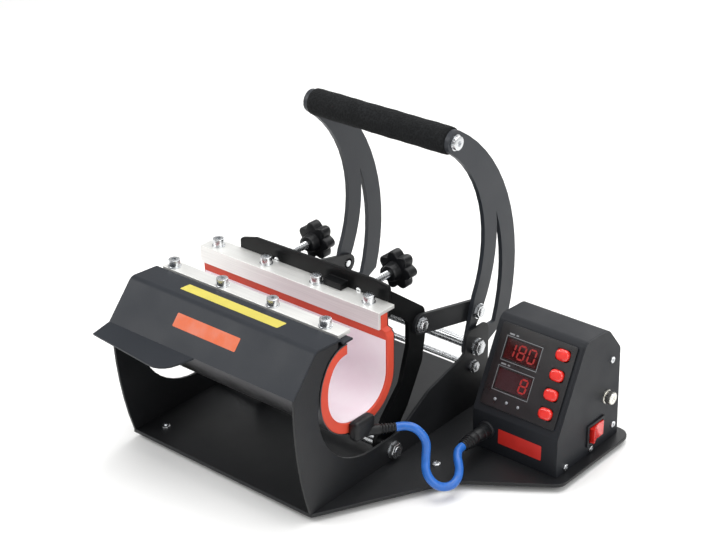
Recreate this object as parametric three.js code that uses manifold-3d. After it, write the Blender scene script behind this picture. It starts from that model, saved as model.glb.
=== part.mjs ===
// Mug heat press: a sheet steel cradle with a heated wrap that a toggle handle pulls round a mug.
// Millimetres, +X to the right along the wrap, +Y to the rear, +Z up.
// The pieces are placed from the right front corner of the cradle, and the whole press is then
// moved so that its origin is at the centre of its foot print, on the surface it stands on.

import * as THREE from 'three';
import { mergeVertices } from 'three/addons/utils/BufferGeometryUtils.js';
import Module from 'manifold-3d';

const wasm = await Module();
wasm.setup();

// Clearances
const seatGap = 0.3;
const layerGap = 0.1;
const boreClearance = 0.3;
const cutOverrun = 4;

// Roundness of curved work
const roundSides = 18;
const smallRoundSides = 12;
const hexSides = 6;
const arcSag = 0.22;

// Base plate
const frameWidth = 250;
const baseThickness = 4;
const baseDepth = 325;
const wingReach = 162;
const wingFrontReach = 160;
const wingFrontY = 197;
const waistReach = 70;
const waistY = 133;
const baseCornerRadius = 14;
const waistRadius = 60;

// Feet
const footHeight = 6;
const footRadius = 11;
const footTipRadius = 9;
const footInset = 24;

// End plates
const plateThickness = 3;
const plateBulge = 20;
const plateBulgeHeight = 66;
const noseReach = 45;
const noseDepth = 9;
const cradleY = 93;
const cradleZ = 110;
const cradleRadius = 78.5;
const cradleStartShare = 0.905;
const cradleEndShare = 1.5;
const rampStartY = 138;
const rampKneeY = 186;
const rampKneeZ = 58;
const rampTopZ = 74;
const rampRadius = 38;
const postFrontY = 249;
const postRearY = 290;
const postTopZ = 98;
const postCornerRadius = 10;

// Front cover
const coverThickness = 2;
const coverFrontY = -21;
const coverFrontZ = 141.5;
const coverBendY = 13;
const coverCrestZ = 180;
const coverShoulderY = 49.3;
const coverShoulderZ = 177.8;
const coverSeatY = 53;
const coverTopZ = 172;
const coverRearY = 66;
const coverBendRadius = 9;
const coverShoulderRadius = 3;
const coverSeatRadius = 1;
const lipTipReach = 23;
const lipRootLap = coverThickness / 4;
const lipCornerReach = 31.5;
const lipCornerLength = 105;
const lipLength = 120;
const lipCornerRadius = 26;
const lipDropShare = 0.19;

// Clamp bars and their bolts
const frontBarY = 54;
const frontBarThickness = 4.5;
const frontBarDepth = 18;
const barOverhang = 2;
const frontBarLeftGap = 3;
const frontBarRightGap = 8;
const rearBarRightGap = 7;
const rearBarThickness = 4;
const rearBarDepth = 24.3;
const rearBarLegThickness = 3;
const rearBarLegHeight = 19;
const boltCount = 4;
const boltRightInset = 22;
const boltLeftInset = 10.6;
const boltShankRadius = 3;
const boltHeadRadius = 6.2;
const boltHeadHeight = 7.4;
const washerRadius = 7.2;
const washerThickness = 1.2;
const frontBoltSetback = 7;
const rearBoltSetback = 12.3;

// Heated wrap
const wrapOverhang = 1;
const wrapRoomGap = 1.2;
const wrapFrontY = 57;
const wrapHoodY = 35;
const wrapCheekY = 16.5;
const wrapCheekZ = 138;
const wrapBottomZ = 67.5;
const wrapRearY = 128.6;
const hoodRadius = 34;
const cheekRadius = 55;
const frontBellyRadius = 52;
const rearBellyRadius = 46;
const shellThickness = 1;
const padThickness = 10.5;
const linerThickness = 0.9;
const linerInset = 2;
const linerFrontTrimShare = 0.05;
const linerRearDrop = 10;
const flapStartAngle = THREE.MathUtils.degToRad(-45);
const cornerTrimDepth = 15;

// Jaw
const jawShaftY = 127;
const jawShaftZ = 16;
const jawShaftRadius = 5;
const jawArmThickness = 5;
const crossThickness = 4;
const crossLeftReach = 216;
const crossRightReach = 14;
const crossBottomZ = 161;
const crossEndTopZ = 187;
const crossTopZ = 195;
const crossStep = 22;
const clampTabGap = 0.6;
const clampTabWidth = 24;
const clampTabDepth = 11;
const clampTabHeight = 7;
const jawFootRadius = 9.5;
const jawFootRoundShare = 0.95;
const jawBendShare = 0.1;
const jawArmRearShares = [[0.59, 1.12], [0.605, 0.89], [0.555, 0.6], [0.352, 0.235]];
const jawArmFrontShares = [[-0.09, 0.07], [0.032, 0.26], [0.263, 0.494], [0.366, 0.822], [0.366, 1.075]];
const headPinY = 185;
const headPinZ = 133;

// Handle
const handleCentreX = -99;
const armOuterOffset = 95;
const armThickness = 5;
const linkThickness = 4;
const linkGap = 0.5;
const linkEndRadius = 11;
const handleShaftY = 268;
const handleShaftZ = 75;
const handleShaftRadius = 6;
const armBossRadius = 15;
const crankPinY = 276;
const crankPinZ = 113;
const pinRadius = 4;
const pinHeadRadius = 8;
const pinHeadHeight = 4.4;
const openPivotClearance = 2.1;
const armOuterArcRadius = 208.5;
const armInnerArcRadius = 138.5;
const rearLegWidth = 23.5;
const frontLegWidth = 21.5;
const heelReach = 62.5;
const heelRise = 11;
const throatReach = 0.5;
const throatRise = 56;
const slotFloorRise = 13;
const gripEndTurn = THREE.MathUtils.degToRad(58);
const gripY = 230.5;
const gripZ = 319;
const gripEndRadius = 12.5;
const gripRadius = 14.5;
const gripTubeRadius = 9;
const gripTubeBoreRadius = 4.3;
const gripBoltDepth = 22;

// Tie rod
const tieRodY = 262;
const tieRodZ = 54;
const tieRodRadius = 3;
const tieNutRadius = 6.5;
const tieNutHeight = 5;
const shaftNutRadius = 9;
const shaftNutHeight = 6;

// Pressure knobs
const knobXs = [-165, -54];
const knobAxisZ = 176;
const knobY = 195;
const knobRadius = 21;
const knobThickness = 14;
const knobLobes = 7;
const pointsPerLobe = 6;
const knobLobeShare = 0.13;
const knobHubRadius = 9;
const knobHubLength = 9;
const studRadius = 4;

// Control box
const boxLeftX = 45;
const boxRightX = 149;
const boxFrontY = 202;
const boxSillZ = 48;
const boxBrowY = 247;
const boxTopZ = 139;
const boxBackTopY = 288;
const boxBackTopZ = 137;
const boxShoulderY = 312;
const boxShoulderZ = 108;
const boxRearY = 316;
const boxWall = 2;
const boxSillRadius = 5;
const boxTopRadius = 9;

// Control panel on the slanted face of the box, measured from its lower left corner
const fasciaInset = 7;
const fasciaBottom = 8;
const fasciaTop = 95;
const fasciaThickness = 1.5;
const fasciaLap = 5;
const boardDepth = 12.4;
const boardThickness = 1.6;
const boardInset = 5;
const standoffRadius = 2.8;
const standoffInset = 3.8;
const displayLeft = 17;
const displayWidth = 41;
const displayHeight = 22;
const displayBottoms = [27.5, 59];
const displayRecess = 0.5;
const buttonCentre = 83;
const buttonHeights = [21.5, 41.3, 61.6, 82.8];
const buttonWidth = 16;
const buttonDepth = 12.5;
const buttonProud = 4;
const buttonTravel = 1.5;
const buttonCorner = 2.5;

// Fittings on the box
const rockerY = 271;
const rockerZ = 27;
const rockerFrameLength = 31;
const rockerFrameHeight = 25;
const rockerFrameProud = 2;
const rockerBodyInset = 1.5;
const rockerBodyDepth = 17;
const rockerWellInset = 3.4;
const paddleLength = 23;
const paddleHeight = 16.6;
const paddleRise = 3.2;
const paddleSaddle = 1;
const paddleKeelRadius = 8;
const keelStartShare = 0.2;
const keelEndShare = 0.8;
const paddlePivotDepth = 2;
const paddleTilt = THREE.MathUtils.degToRad(9);
const fuseY = 289.3;
const fuseZ = 59.8;
const fuseCapRadius = 7.5;
const fuseCapLength = 9;
const fuseBarrelRadius = 6;
const fuseBarrelDepth = 20;
const socketX = 63;
const socketZ = 28.5;
const socketFlangeRadius = 9.5;
const socketFlangeThickness = 2.5;
const socketBarrelRadius = 7;
const socketBarrelDepth = 10;
const inletX = 97;
const inletZ = 40;
const inletWidth = 30;
const inletHeight = 24;
const inletProud = 2;
const inletBodyDepth = 16;
const inletWellDepth = 12;
const inletRim = 3;

// Heater lead with the pieces on it
const leadRadius = 4.4;
const leadSides = 10;
const leadSteps = 30;
const plugRadius = 7;
const plugNeckRadius = 5.2;
const plugLength = 39;
const plugNeckLength = 14;
const glandBlockWidth = 12;
const glandBlockDepth = 29;
const glandBlockHeight = 21;
const glandBlockRise = 16.5;
const glandBlockFrontY = 55;
const sleeveRadius = 5.5;
const sleeveEndRadius = 4.6;
const sleeveStart = new THREE.Vector3(6, 74, 66);
const sleeveEnd = new THREE.Vector3(26.5, 98.5, 67);
const leadRoute = [
  new THREE.Vector3(26.8, 98.86, 67.01),
  new THREE.Vector3(28.4, 100.64, 67.15),
  new THREE.Vector3(32.3, 104.19, 67.67),
  new THREE.Vector3(38.64, 108.1, 67.16),
  new THREE.Vector3(44.24, 110.48, 64.55),
  new THREE.Vector3(50.23, 112.8, 57.87),
  new THREE.Vector3(53.08, 113.37, 49.71),
  new THREE.Vector3(53.43, 112.72, 41.27),
  new THREE.Vector3(55.07, 110.09, 32.67),
  new THREE.Vector3(58.43, 106.37, 25.57),
  new THREE.Vector3(64.53, 104.68, 18.76),
  new THREE.Vector3(70.94, 107.24, 12.95),
  new THREE.Vector3(76.38, 113.77, 9.44),
  new THREE.Vector3(79.61, 122.1, 9.53),
  new THREE.Vector3(79.75, 130.05, 12.81),
  new THREE.Vector3(77.07, 136.41, 18.25),
  new THREE.Vector3(72.93, 140.5, 22.73),
  new THREE.Vector3(69.75, 143.41, 24.98),
  new THREE.Vector3(65.6, 148.84, 27.24),
  new THREE.Vector3(63.84, 153.34, 28.15),
  new THREE.Vector3(63.13, 157.66, 28.45),
  new THREE.Vector3(63, 160.2, 28.5),
];

// Finishes
const finish = (color, roughness, metalness) => (
  new THREE.MeshStandardMaterial({ color, roughness, metalness })
);
const finishes = {
  coverGrey: finish(0x4a4b4e, 0.55, 0.2),
  frameBlack: finish(0x24262a, 0.5, 0.2),
  boxBlack: finish(0x26282c, 0.55, 0.2),
  zinc: finish(0xc9ccd0, 0.3, 0.9),
  barSteel: finish(0xe6e8ea, 0.35, 0.8),
  shellSteel: finish(0xb8bbbd, 0.35, 0.9),
  siliconeRed: finish(0xc8402c, 0.6, 0),
  linerPink: finish(0xe6d6dc, 0.8, 0),
  foamBlack: finish(0x17181a, 0.95, 0),
  plasticBlack: finish(0x141517, 0.4, 0),
  rubberBlack: finish(0x1b1c1e, 0.8, 0),
  leadBlue: finish(0x2f7fd6, 0.45, 0),
  fasciaBlack: finish(0x0c0d0f, 0.25, 0),
  displayGlass: finish(0x2a0a0c, 0.1, 0),
  buttonRed: finish(0xe2342c, 0.35, 0),
  boardGreen: finish(0x1e5a38, 0.6, 0),
};

const press = new THREE.Group();
const panelGroup = new THREE.Group();

function addPiece(name, geometry, material, parent = press) {
  const mesh = new THREE.Mesh(geometry, material);
  mesh.name = name;
  parent.add(mesh);
  return mesh;
}

// Points of an outline in the plane of a sheet
const at = (across, up) => new THREE.Vector2(across, up);

// Straight steps that follow an arc to within the allowed sag
function arcSteps(radius, sweep) {
  const stepAngle = 2 * Math.acos(1 - Math.min(arcSag / radius, 1));
  return Math.max(2, Math.ceil(Math.abs(sweep) / stepAngle));
}

// Corners joined by straight runs, each corner rounded to its own radius
function roundedOutline(corners, radii, closed = true) {
  const outline = [];
  corners.forEach((corner, index) => {
    const isEnd = !closed && (index === 0 || index === corners.length - 1);
    const radius = radii[index];
    if (isEnd || radius === 0) {
      outline.push(corner.clone());
      return;
    }
    const toBefore = corners.at(index - 1).clone().sub(corner).normalize();
    const toAfter = corners[(index + 1) % corners.length].clone().sub(corner).normalize();
    const halfAngle = Math.acos(toBefore.dot(toAfter)) / 2;
    const start = toBefore.clone().multiplyScalar(radius / Math.tan(halfAngle)).add(corner);
    const end = toAfter.clone().multiplyScalar(radius / Math.tan(halfAngle)).add(corner);
    const bisector = toBefore.clone().add(toAfter).normalize();
    const centre = bisector.multiplyScalar(radius / Math.sin(halfAngle)).add(corner);
    const startAngle = Math.atan2(start.y - centre.y, start.x - centre.x);
    const turn = Math.atan2(end.y - centre.y, end.x - centre.x) - startAngle;
    const sweep = Math.atan2(Math.sin(turn), Math.cos(turn));
    const steps = arcSteps(radius, sweep);
    for (let step = 0; step <= steps; step += 1) {
      const angle = startAngle + (sweep * step) / steps;
      outline.push(at(Math.cos(angle), Math.sin(angle)).multiplyScalar(radius).add(centre));
    }
  });
  return outline;
}

// Points of an arc about a centre, from one angle to another
function arcPoints(centre, radius, startAngle, endAngle) {
  const steps = arcSteps(radius, endAngle - startAngle);
  return Array.from({ length: steps + 1 }, (_, step) => {
    const angle = startAngle + ((endAngle - startAngle) * step) / steps;
    return at(Math.cos(angle), Math.sin(angle)).multiplyScalar(radius).add(centre);
  });
}

const angleTo = (centre, point) => Math.atan2(point.y - centre.y, point.x - centre.x);

// The centre of the arc of a given radius that turns left from one point to another
function arcCentre(start, end, radius) {
  const half = end.clone().sub(start).multiplyScalar(1 / 2);
  const left = at(-half.y, half.x).normalize();
  return start.clone().add(half).add(left.multiplyScalar(Math.sqrt(radius ** 2 - half.lengthSq())));
}

// An open line moved to its own left by a distance, with mitred corners
function offsetLine(line, distance) {
  return line.map((point, index) => {
    const before = line[Math.max(index - 1, 0)];
    const after = line[Math.min(index + 1, line.length - 1)];
    const arriving = (index === 0 ? after.clone().sub(point) : point.clone().sub(before)).normalize();
    const leaving = (index === line.length - 1 ? arriving.clone() : after.clone().sub(point)).normalize();
    const middle = arriving.clone().add(leaving).normalize();
    const reach = distance / middle.dot(arriving);
    return at(-middle.y, middle.x).multiplyScalar(reach).add(point);
  });
}

// A bent sheet seen on edge: the band between two offsets of one line
const bentSheet = (line, near, far) => (
  new THREE.Shape([...offsetLine(line, near), ...offsetLine(line, far).reverse()])
);

function extrude(shape, depth) {
  return new THREE.ExtrudeGeometry(
    shape, { depth, bevelEnabled: false, steps: 1, curveSegments: roundSides },
  );
}

const axisX = new THREE.Vector3(1, 0, 0);
const axisY = new THREE.Vector3(0, 1, 0);
const axisZ = new THREE.Vector3(0, 0, 1);

// An outline drawn in Y and Z, given its thickness along X
function plateAlongX(shape, lowX, highX) {
  const geometry = extrude(shape, highX - lowX);
  geometry.applyMatrix4(new THREE.Matrix4().makeBasis(axisY, axisZ, axisX));
  return geometry.translate(lowX, 0, 0);
}

// An outline drawn in X and Z, given its thickness along Y
function plateAlongY(shape, lowY, highY) {
  const geometry = extrude(shape, highY - lowY);
  geometry.applyMatrix4(new THREE.Matrix4().makeBasis(axisX, axisZ, axisY.clone().negate()));
  return geometry.translate(0, highY, 0);
}

function block(lowX, highX, lowY, highY, lowZ, highZ) {
  const geometry = new THREE.BoxGeometry(highX - lowX, highY - lowY, highZ - lowZ);
  return geometry.translate((lowX + highX) / 2, (lowY + highY) / 2, (lowZ + highZ) / 2);
}

// Round bars along each axis; the two radii taper the bar from its low end to its high end
function rodAlongX(lowX, highX, y, z, radius, sides = roundSides, highRadius = radius) {
  const geometry = new THREE.CylinderGeometry(highRadius, radius, highX - lowX, sides);
  return geometry.rotateZ(-Math.PI / 2).translate((lowX + highX) / 2, y, z);
}

function rodAlongY(lowY, highY, x, z, radius, sides = roundSides, highRadius = radius) {
  const geometry = new THREE.CylinderGeometry(highRadius, radius, highY - lowY, sides);
  return geometry.translate(x, (lowY + highY) / 2, z);
}

function rodAlongZ(lowZ, highZ, x, y, radius, sides = roundSides, highRadius = radius) {
  const geometry = new THREE.CylinderGeometry(highRadius, radius, highZ - lowZ, sides);
  return geometry.rotateX(Math.PI / 2).translate(x, y, (lowZ + highZ) / 2);
}

function toSolid(geometry) {
  const bare = geometry.clone();
  bare.deleteAttribute('normal');
  bare.deleteAttribute('uv');
  const merged = mergeVertices(bare);
  const vertProperties = Float32Array.from(merged.attributes.position.array);
  const triVerts = Uint32Array.from(merged.index.array);
  return new wasm.Manifold(new wasm.Mesh({ numProp: 3, vertProperties, triVerts }));
}

function toGeometry(solid) {
  const mesh = solid.getMesh();
  const geometry = new THREE.BufferGeometry();
  geometry.setAttribute('position', new THREE.BufferAttribute(mesh.vertProperties, 3));
  geometry.setIndex(new THREE.BufferAttribute(mesh.triVerts, 1));
  geometry.computeVertexNormals();
  return geometry;
}

const joined = (...geometries) => (
  toGeometry(geometries.map(toSolid).reduce((whole, part) => whole.add(part)))
);
const pierced = (geometry, ...tools) => (
  toGeometry(tools.map(toSolid).reduce((whole, tool) => whole.subtract(tool), toSolid(geometry)))
);
const common = (geometry, tool) => toGeometry(toSolid(geometry).intersect(toSolid(tool)));

// Places shared by several pieces
const rightFaceX = 0;
const leftFaceX = -frameWidth;
const rightInnerX = rightFaceX - plateThickness;
const leftInnerX = leftFaceX + plateThickness;
const flangeUnderZ = coverTopZ - coverThickness;
const barTopZ = coverTopZ + rearBarThickness;
const wrapLeftX = leftFaceX - wrapOverhang;
const wrapRightX = rightFaceX + wrapOverhang;
const wrapThickness = shellThickness + layerGap + padThickness;
const legRearY = wrapRearY - wrapThickness - seatGap;
const legFrontY = legRearY - rearBarLegThickness;
const crossFrontY = legFrontY + rearBarDepth;
const crossRearY = crossFrontY + crossThickness;
const boltFirstX = rightFaceX - frontBarRightGap - boltRightInset;
const boltLastX = leftFaceX + frontBarLeftGap + boltLeftInset;
const boltPitch = (boltFirstX - boltLastX) / (boltCount - 1);
const boltXs = Array.from({ length: boltCount }, (_, index) => boltFirstX - index * boltPitch);
const armOuter = armOuterOffset;
const armInner = armOuter - armThickness;
const linkOuter = armInner - linkGap;
const linkInner = linkOuter - linkThickness;
const jawArmOuter = linkInner - linkGap;
const jawArmInner = jawArmOuter - jawArmThickness;

// A span between two distances from the middle of the handle, on one side of it
function sideSpan(side, near, far) {
  const ends = [handleCentreX + side * near, handleCentreX + side * far];
  return [Math.min(...ends), Math.max(...ends)];
}

const sides = [{ word: 'left', sign: -1 }, { word: 'right', sign: 1 }];

function basePlate() {
  const corners = [
    at(leftFaceX, 0), at(rightFaceX, 0), at(waistReach, waistY), at(wingFrontReach, wingFrontY),
    at(wingReach, baseDepth), at(leftFaceX, baseDepth),
  ];
  const radii = [0, coverThickness, waistRadius, baseCornerRadius, baseCornerRadius, baseCornerRadius];
  const plate = extrude(new THREE.Shape(roundedOutline(corners, radii)), baseThickness);
  addPiece('base_plate', plate, finishes.frameBlack);
}

function feet() {
  const places = [
    ['foot_front_left', leftFaceX + footInset, footInset],
    ['foot_front_right', rightFaceX - footInset, footInset],
    ['foot_rear_left', leftFaceX + footInset, baseDepth - footInset],
    ['foot_rear_right', wingReach - footInset, baseDepth - footInset],
  ];
  places.forEach(([name, x, y]) => {
    addPiece(
      name, rodAlongZ(-footHeight, 0, x, y, footTipRadius, roundSides, footRadius), finishes.rubberBlack,
    );
  });
}

// The edge line of the cover from its lower front edge up over the bend, and down a step to the bar's seat
const coverFront = at(coverFrontY, coverFrontZ);
const coverBend = at(coverBendY, coverCrestZ);
const coverShoulder = at(coverShoulderY, coverShoulderZ);
const coverLine = () => roundedOutline(
  [coverFront, coverBend, coverShoulder, at(coverSeatY, coverTopZ), at(coverRearY, coverTopZ)],
  [0, coverBendRadius, coverShoulderRadius, coverSeatRadius, 0],
  false,
);

// The part of that line that the end plates carry, up to their noses
function noseLine() {
  const share = (noseReach - coverBendY) / (coverShoulderY - coverBendY);
  const nose = coverBend.clone().lerp(coverShoulder, share);
  return roundedOutline([coverFront, coverBend, nose], [0, coverBendRadius, 0], false);
}

function endPlateShape() {
  const topEdge = offsetLine(noseLine(), -coverThickness - seatGap);
  const frontEdge = new THREE.QuadraticBezierCurve(
    at(0, baseThickness), at(-plateBulge, plateBulgeHeight), topEdge[0],
  ).getPoints(smallRoundSides / 2);
  const cradleStart = Math.PI * cradleStartShare;
  const cradle = arcPoints(at(cradleY, cradleZ), cradleRadius, cradleStart, Math.PI * cradleEndShare);
  const cradleBottomZ = cradleZ - cradleRadius;
  const rear = roundedOutline([
    at(cradleY, cradleBottomZ), at(rampStartY, cradleBottomZ), at(rampKneeY, rampKneeZ),
    at(postFrontY, rampTopZ), at(postFrontY, postTopZ), at(postRearY, postTopZ),
    at(postRearY, baseThickness),
  ], [0, rampRadius, rampRadius, postCornerRadius, postCornerRadius, postCornerRadius, 0], false);
  const noseEnd = topEdge.at(-1).clone().add(at(0, -noseDepth));
  return new THREE.Shape([...frontEdge, ...topEdge.slice(1), noseEnd, ...cradle, ...rear.slice(1)]);
}

// The room that the end plates leave round the wrap
function wrapRoom() {
  const outline = offsetLine(wrapLine(0, coverTopZ), -wrapRoomGap);
  return plateAlongX(new THREE.Shape(outline), leftFaceX - cutOverrun, rightFaceX + cutOverrun);
}

function endPlates() {
  const spans = { left: [leftFaceX, leftInnerX], right: [rightInnerX, rightFaceX] };
  sides.forEach(({ word }) => {
    const [lowX, highX] = spans[word];
    const hole = (y, z, radius) => (
      rodAlongX(lowX - cutOverrun, highX + cutOverrun, y, z, radius + boreClearance)
    );
    const plate = pierced(
      plateAlongX(endPlateShape(), lowX, highX),
      hole(jawShaftY, jawShaftZ, jawShaftRadius),
      hole(handleShaftY, handleShaftZ, handleShaftRadius),
      hole(tieRodY, tieRodZ, tieRodRadius),
      wrapRoom(),
    );
    addPiece(`end_plate_${word}`, plate, finishes.coverGrey);
  });
}

// Rods that cross the cradle and carry a nut outside each end plate
function crossRods() {
  const rods = [
    ['jaw_shaft', jawShaftY, jawShaftZ, jawShaftRadius, shaftNutRadius, shaftNutHeight],
    ['handle_shaft', handleShaftY, handleShaftZ, handleShaftRadius, shaftNutRadius, shaftNutHeight],
    ['tie_rod', tieRodY, tieRodZ, tieRodRadius, tieNutRadius, tieNutHeight],
  ];
  rods.forEach(([name, y, z, radius, nutRadius, nutHeight]) => {
    const rod = joined(
      rodAlongX(leftFaceX - nutHeight, rightFaceX + nutHeight, y, z, radius),
      rodAlongX(leftFaceX - nutHeight, leftFaceX, y, z, nutRadius, hexSides),
      rodAlongX(rightFaceX, rightFaceX + nutHeight, y, z, nutRadius, hexSides),
    );
    addPiece(name, rod, finishes.zinc);
  });
}

// The cover, with a lip drawn out of the left part of its lower front edge
function frontCover() {
  const sheet = plateAlongX(bentSheet(coverLine(), -coverThickness, 0), leftFaceX, rightFaceX);
  const lipShape = new THREE.Shape(roundedOutline([
    at(leftFaceX, lipRootLap), at(leftFaceX, -lipTipReach),
    at(leftFaceX + lipCornerLength, -lipCornerReach),
    at(leftFaceX + lipLength, 0), at(leftFaceX + lipLength, lipRootLap),
  ], [0, 0, lipCornerRadius, 0, 0]));
  const lip = extrude(lipShape, coverThickness);
  lip.rotateX(Math.atan(lipDropShare));
  lip.translate(0, coverFrontY + lipRootLap, coverFrontZ - coverThickness);
  const holes = boltXs.map((x) => rodAlongZ(
    flangeUnderZ - cutOverrun, coverTopZ + cutOverrun, x, frontBarY + frontBoltSetback,
    boltShankRadius + boreClearance, smallRoundSides,
  ));
  addPiece('front_cover', pierced(joined(sheet, lip), ...holes), finishes.coverGrey);
}

function boltHole(x, y) {
  const radius = boltShankRadius + boreClearance;
  return rodAlongZ(flangeUnderZ - cutOverrun, barTopZ + cutOverrun, x, y, radius, smallRoundSides);
}

function clampBars() {
  const frontTopZ = coverTopZ + frontBarThickness;
  const front = block(
    leftFaceX + frontBarLeftGap, rightFaceX - frontBarRightGap, frontBarY, frontBarY + frontBarDepth,
    coverTopZ, frontTopZ,
  );
  const frontHoles = boltXs.map((x) => boltHole(x, frontBarY + frontBoltSetback));
  addPiece('front_bar', pierced(front, ...frontHoles), finishes.barSteel);

  const rearLowX = leftFaceX - barOverhang;
  const rearHighX = rightFaceX - rearBarRightGap;
  const shelf = block(rearLowX, rearHighX, legFrontY, crossFrontY, coverTopZ, barTopZ);
  const leg = block(rearLowX, rearHighX, legFrontY, legRearY, barTopZ - rearBarLegHeight, barTopZ);
  const rearHoles = boltXs.map((x) => boltHole(x, legFrontY + rearBoltSetback));
  addPiece('rear_bar', pierced(joined(shelf, leg), ...rearHoles), finishes.barSteel);
}

// A cap bolt with a washer under its head and its shank down to lowZ
function barBolt(x, y, seatZ, lowZ) {
  return joined(
    rodAlongZ(lowZ, seatZ + washerThickness, x, y, boltShankRadius, smallRoundSides),
    rodAlongZ(seatZ, seatZ + washerThickness, x, y, washerRadius, roundSides),
    rodAlongZ(
      seatZ + washerThickness / 2, seatZ + washerThickness + boltHeadHeight,
      x, y, boltHeadRadius, roundSides,
    ),
  );
}

function barBolts() {
  boltXs.forEach((x, index) => {
    const front = barBolt(x, frontBarY + frontBoltSetback, coverTopZ + frontBarThickness, flangeUnderZ);
    addPiece(`front_bolt_${index + 1}`, front, finishes.zinc);
    const rear = barBolt(x, legFrontY + rearBoltSetback, barTopZ, coverTopZ);
    addPiece(`rear_bolt_${index + 1}`, rear, finishes.zinc);
  });
}

// The outer line of the wrap: down from the front bar, round under the mug and up to the rear bar
function wrapLine(frontTrimShare, rearTopZ) {
  const front = at(wrapFrontY, flangeUnderZ - seatGap);
  const hood = at(wrapHoodY, flangeUnderZ - seatGap);
  return roundedOutline([
    front.lerp(hood, frontTrimShare), hood, at(wrapCheekY, wrapCheekZ), at(wrapCheekY, wrapBottomZ),
    at(wrapRearY, wrapBottomZ), at(wrapRearY, rearTopZ),
  ], [0, hoodRadius, cheekRadius, frontBellyRadius, rearBellyRadius, 0], false);
}

// Everything behind the line across the rear belly where the part of the pad that moves begins
function wrapFlapSide(clear) {
  const centre = at(wrapRearY - rearBellyRadius, wrapBottomZ + rearBellyRadius);
  const outward = at(Math.cos(flapStartAngle), Math.sin(flapStartAngle));
  const reach = rearBellyRadius + cutOverrun;
  const start = at(-outward.y, outward.x).multiplyScalar(clear).add(centre);
  const edge = outward.clone().multiplyScalar(reach).add(start);
  const outline = new THREE.Shape([
    start, edge, at(edge.x + reach, edge.y),
    at(edge.x + reach, coverTopZ + reach), at(start.x, coverTopZ + reach),
  ]);
  return plateAlongX(outline, wrapLeftX - cutOverrun, wrapRightX + cutOverrun);
}

// The wrap's right rear corner is cut round below the end of the rear bar
function wrapCorner() {
  const lowZ = barTopZ - rearBarLegHeight;
  const innerX = rightFaceX - rearBarRightGap;
  const outerX = wrapRightX + cutOverrun;
  const round = new THREE.QuadraticBezierCurve(
    at(innerX, lowZ), at(wrapRightX, lowZ - seatGap), at(wrapRightX, lowZ - cornerTrimDepth),
  ).getPoints(smallRoundSides / 2);
  const outline = new THREE.Shape([
    at(innerX, barTopZ), ...round, at(outerX, lowZ - cornerTrimDepth), at(outerX, barTopZ),
  ]);
  return plateAlongY(outline, wrapRearY - rearBellyRadius / 2, wrapRearY + cutOverrun);
}

function heatedWrap() {
  const rearTopZ = coverTopZ - seatGap;
  const line = wrapLine(0, rearTopZ);
  const shell = bentSheet(line, 0, shellThickness);
  const pad = bentSheet(line, shellThickness + layerGap, wrapThickness);
  const linerTopZ = barTopZ - rearBarLegHeight - linerRearDrop;
  const linerNear = wrapThickness + layerGap;
  const liner = bentSheet(wrapLine(linerFrontTrimShare, linerTopZ), linerNear, linerNear + linerThickness);
  addPiece(
    'wrap_steel_shell', pierced(plateAlongX(shell, wrapLeftX, wrapRightX), wrapCorner()),
    finishes.shellSteel,
  );
  const wholePad = plateAlongX(pad, wrapLeftX, wrapRightX);
  addPiece('wrap_heater_pad', pierced(wholePad, wrapFlapSide(-seatGap)), finishes.siliconeRed);
  addPiece(
    'wrap_heater_flap', pierced(common(wholePad, wrapFlapSide(0)), wrapCorner()), finishes.siliconeRed,
  );
  addPiece(
    'wrap_liner', plateAlongX(liner, wrapLeftX + linerInset, wrapRightX - linerInset), finishes.linerPink,
  );
}

// The curved jaw arm, from its foot on the jaw shaft up behind the wrap to the cross member
function jawArmShape() {
  const rise = headPinZ - jawShaftZ;
  const onArm = ([across, up]) => at(jawShaftY + across * rise, jawShaftZ + up * rise);
  const corners = [
    at(crossRearY, crossEndTopZ), ...jawArmRearShares.map(onArm),
    at(jawShaftY + jawFootRadius, jawShaftZ - jawFootRadius),
    at(jawShaftY - jawFootRadius, jawShaftZ - jawFootRadius),
    ...jawArmFrontShares.map(onArm), at(crossRearY, crossBottomZ),
  ];
  const bend = rise * jawBendShare;
  const radii = corners.map((_, index) => {
    const isEnd = index === 0 || index === corners.length - 1;
    const isFoot = index === jawArmRearShares.length + 1 || index === jawArmRearShares.length + 2;
    if (isEnd) return 0;
    return isFoot ? jawFootRadius * jawFootRoundShare : bend;
  });
  return new THREE.Shape(roundedOutline(corners, radii));
}

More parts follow.
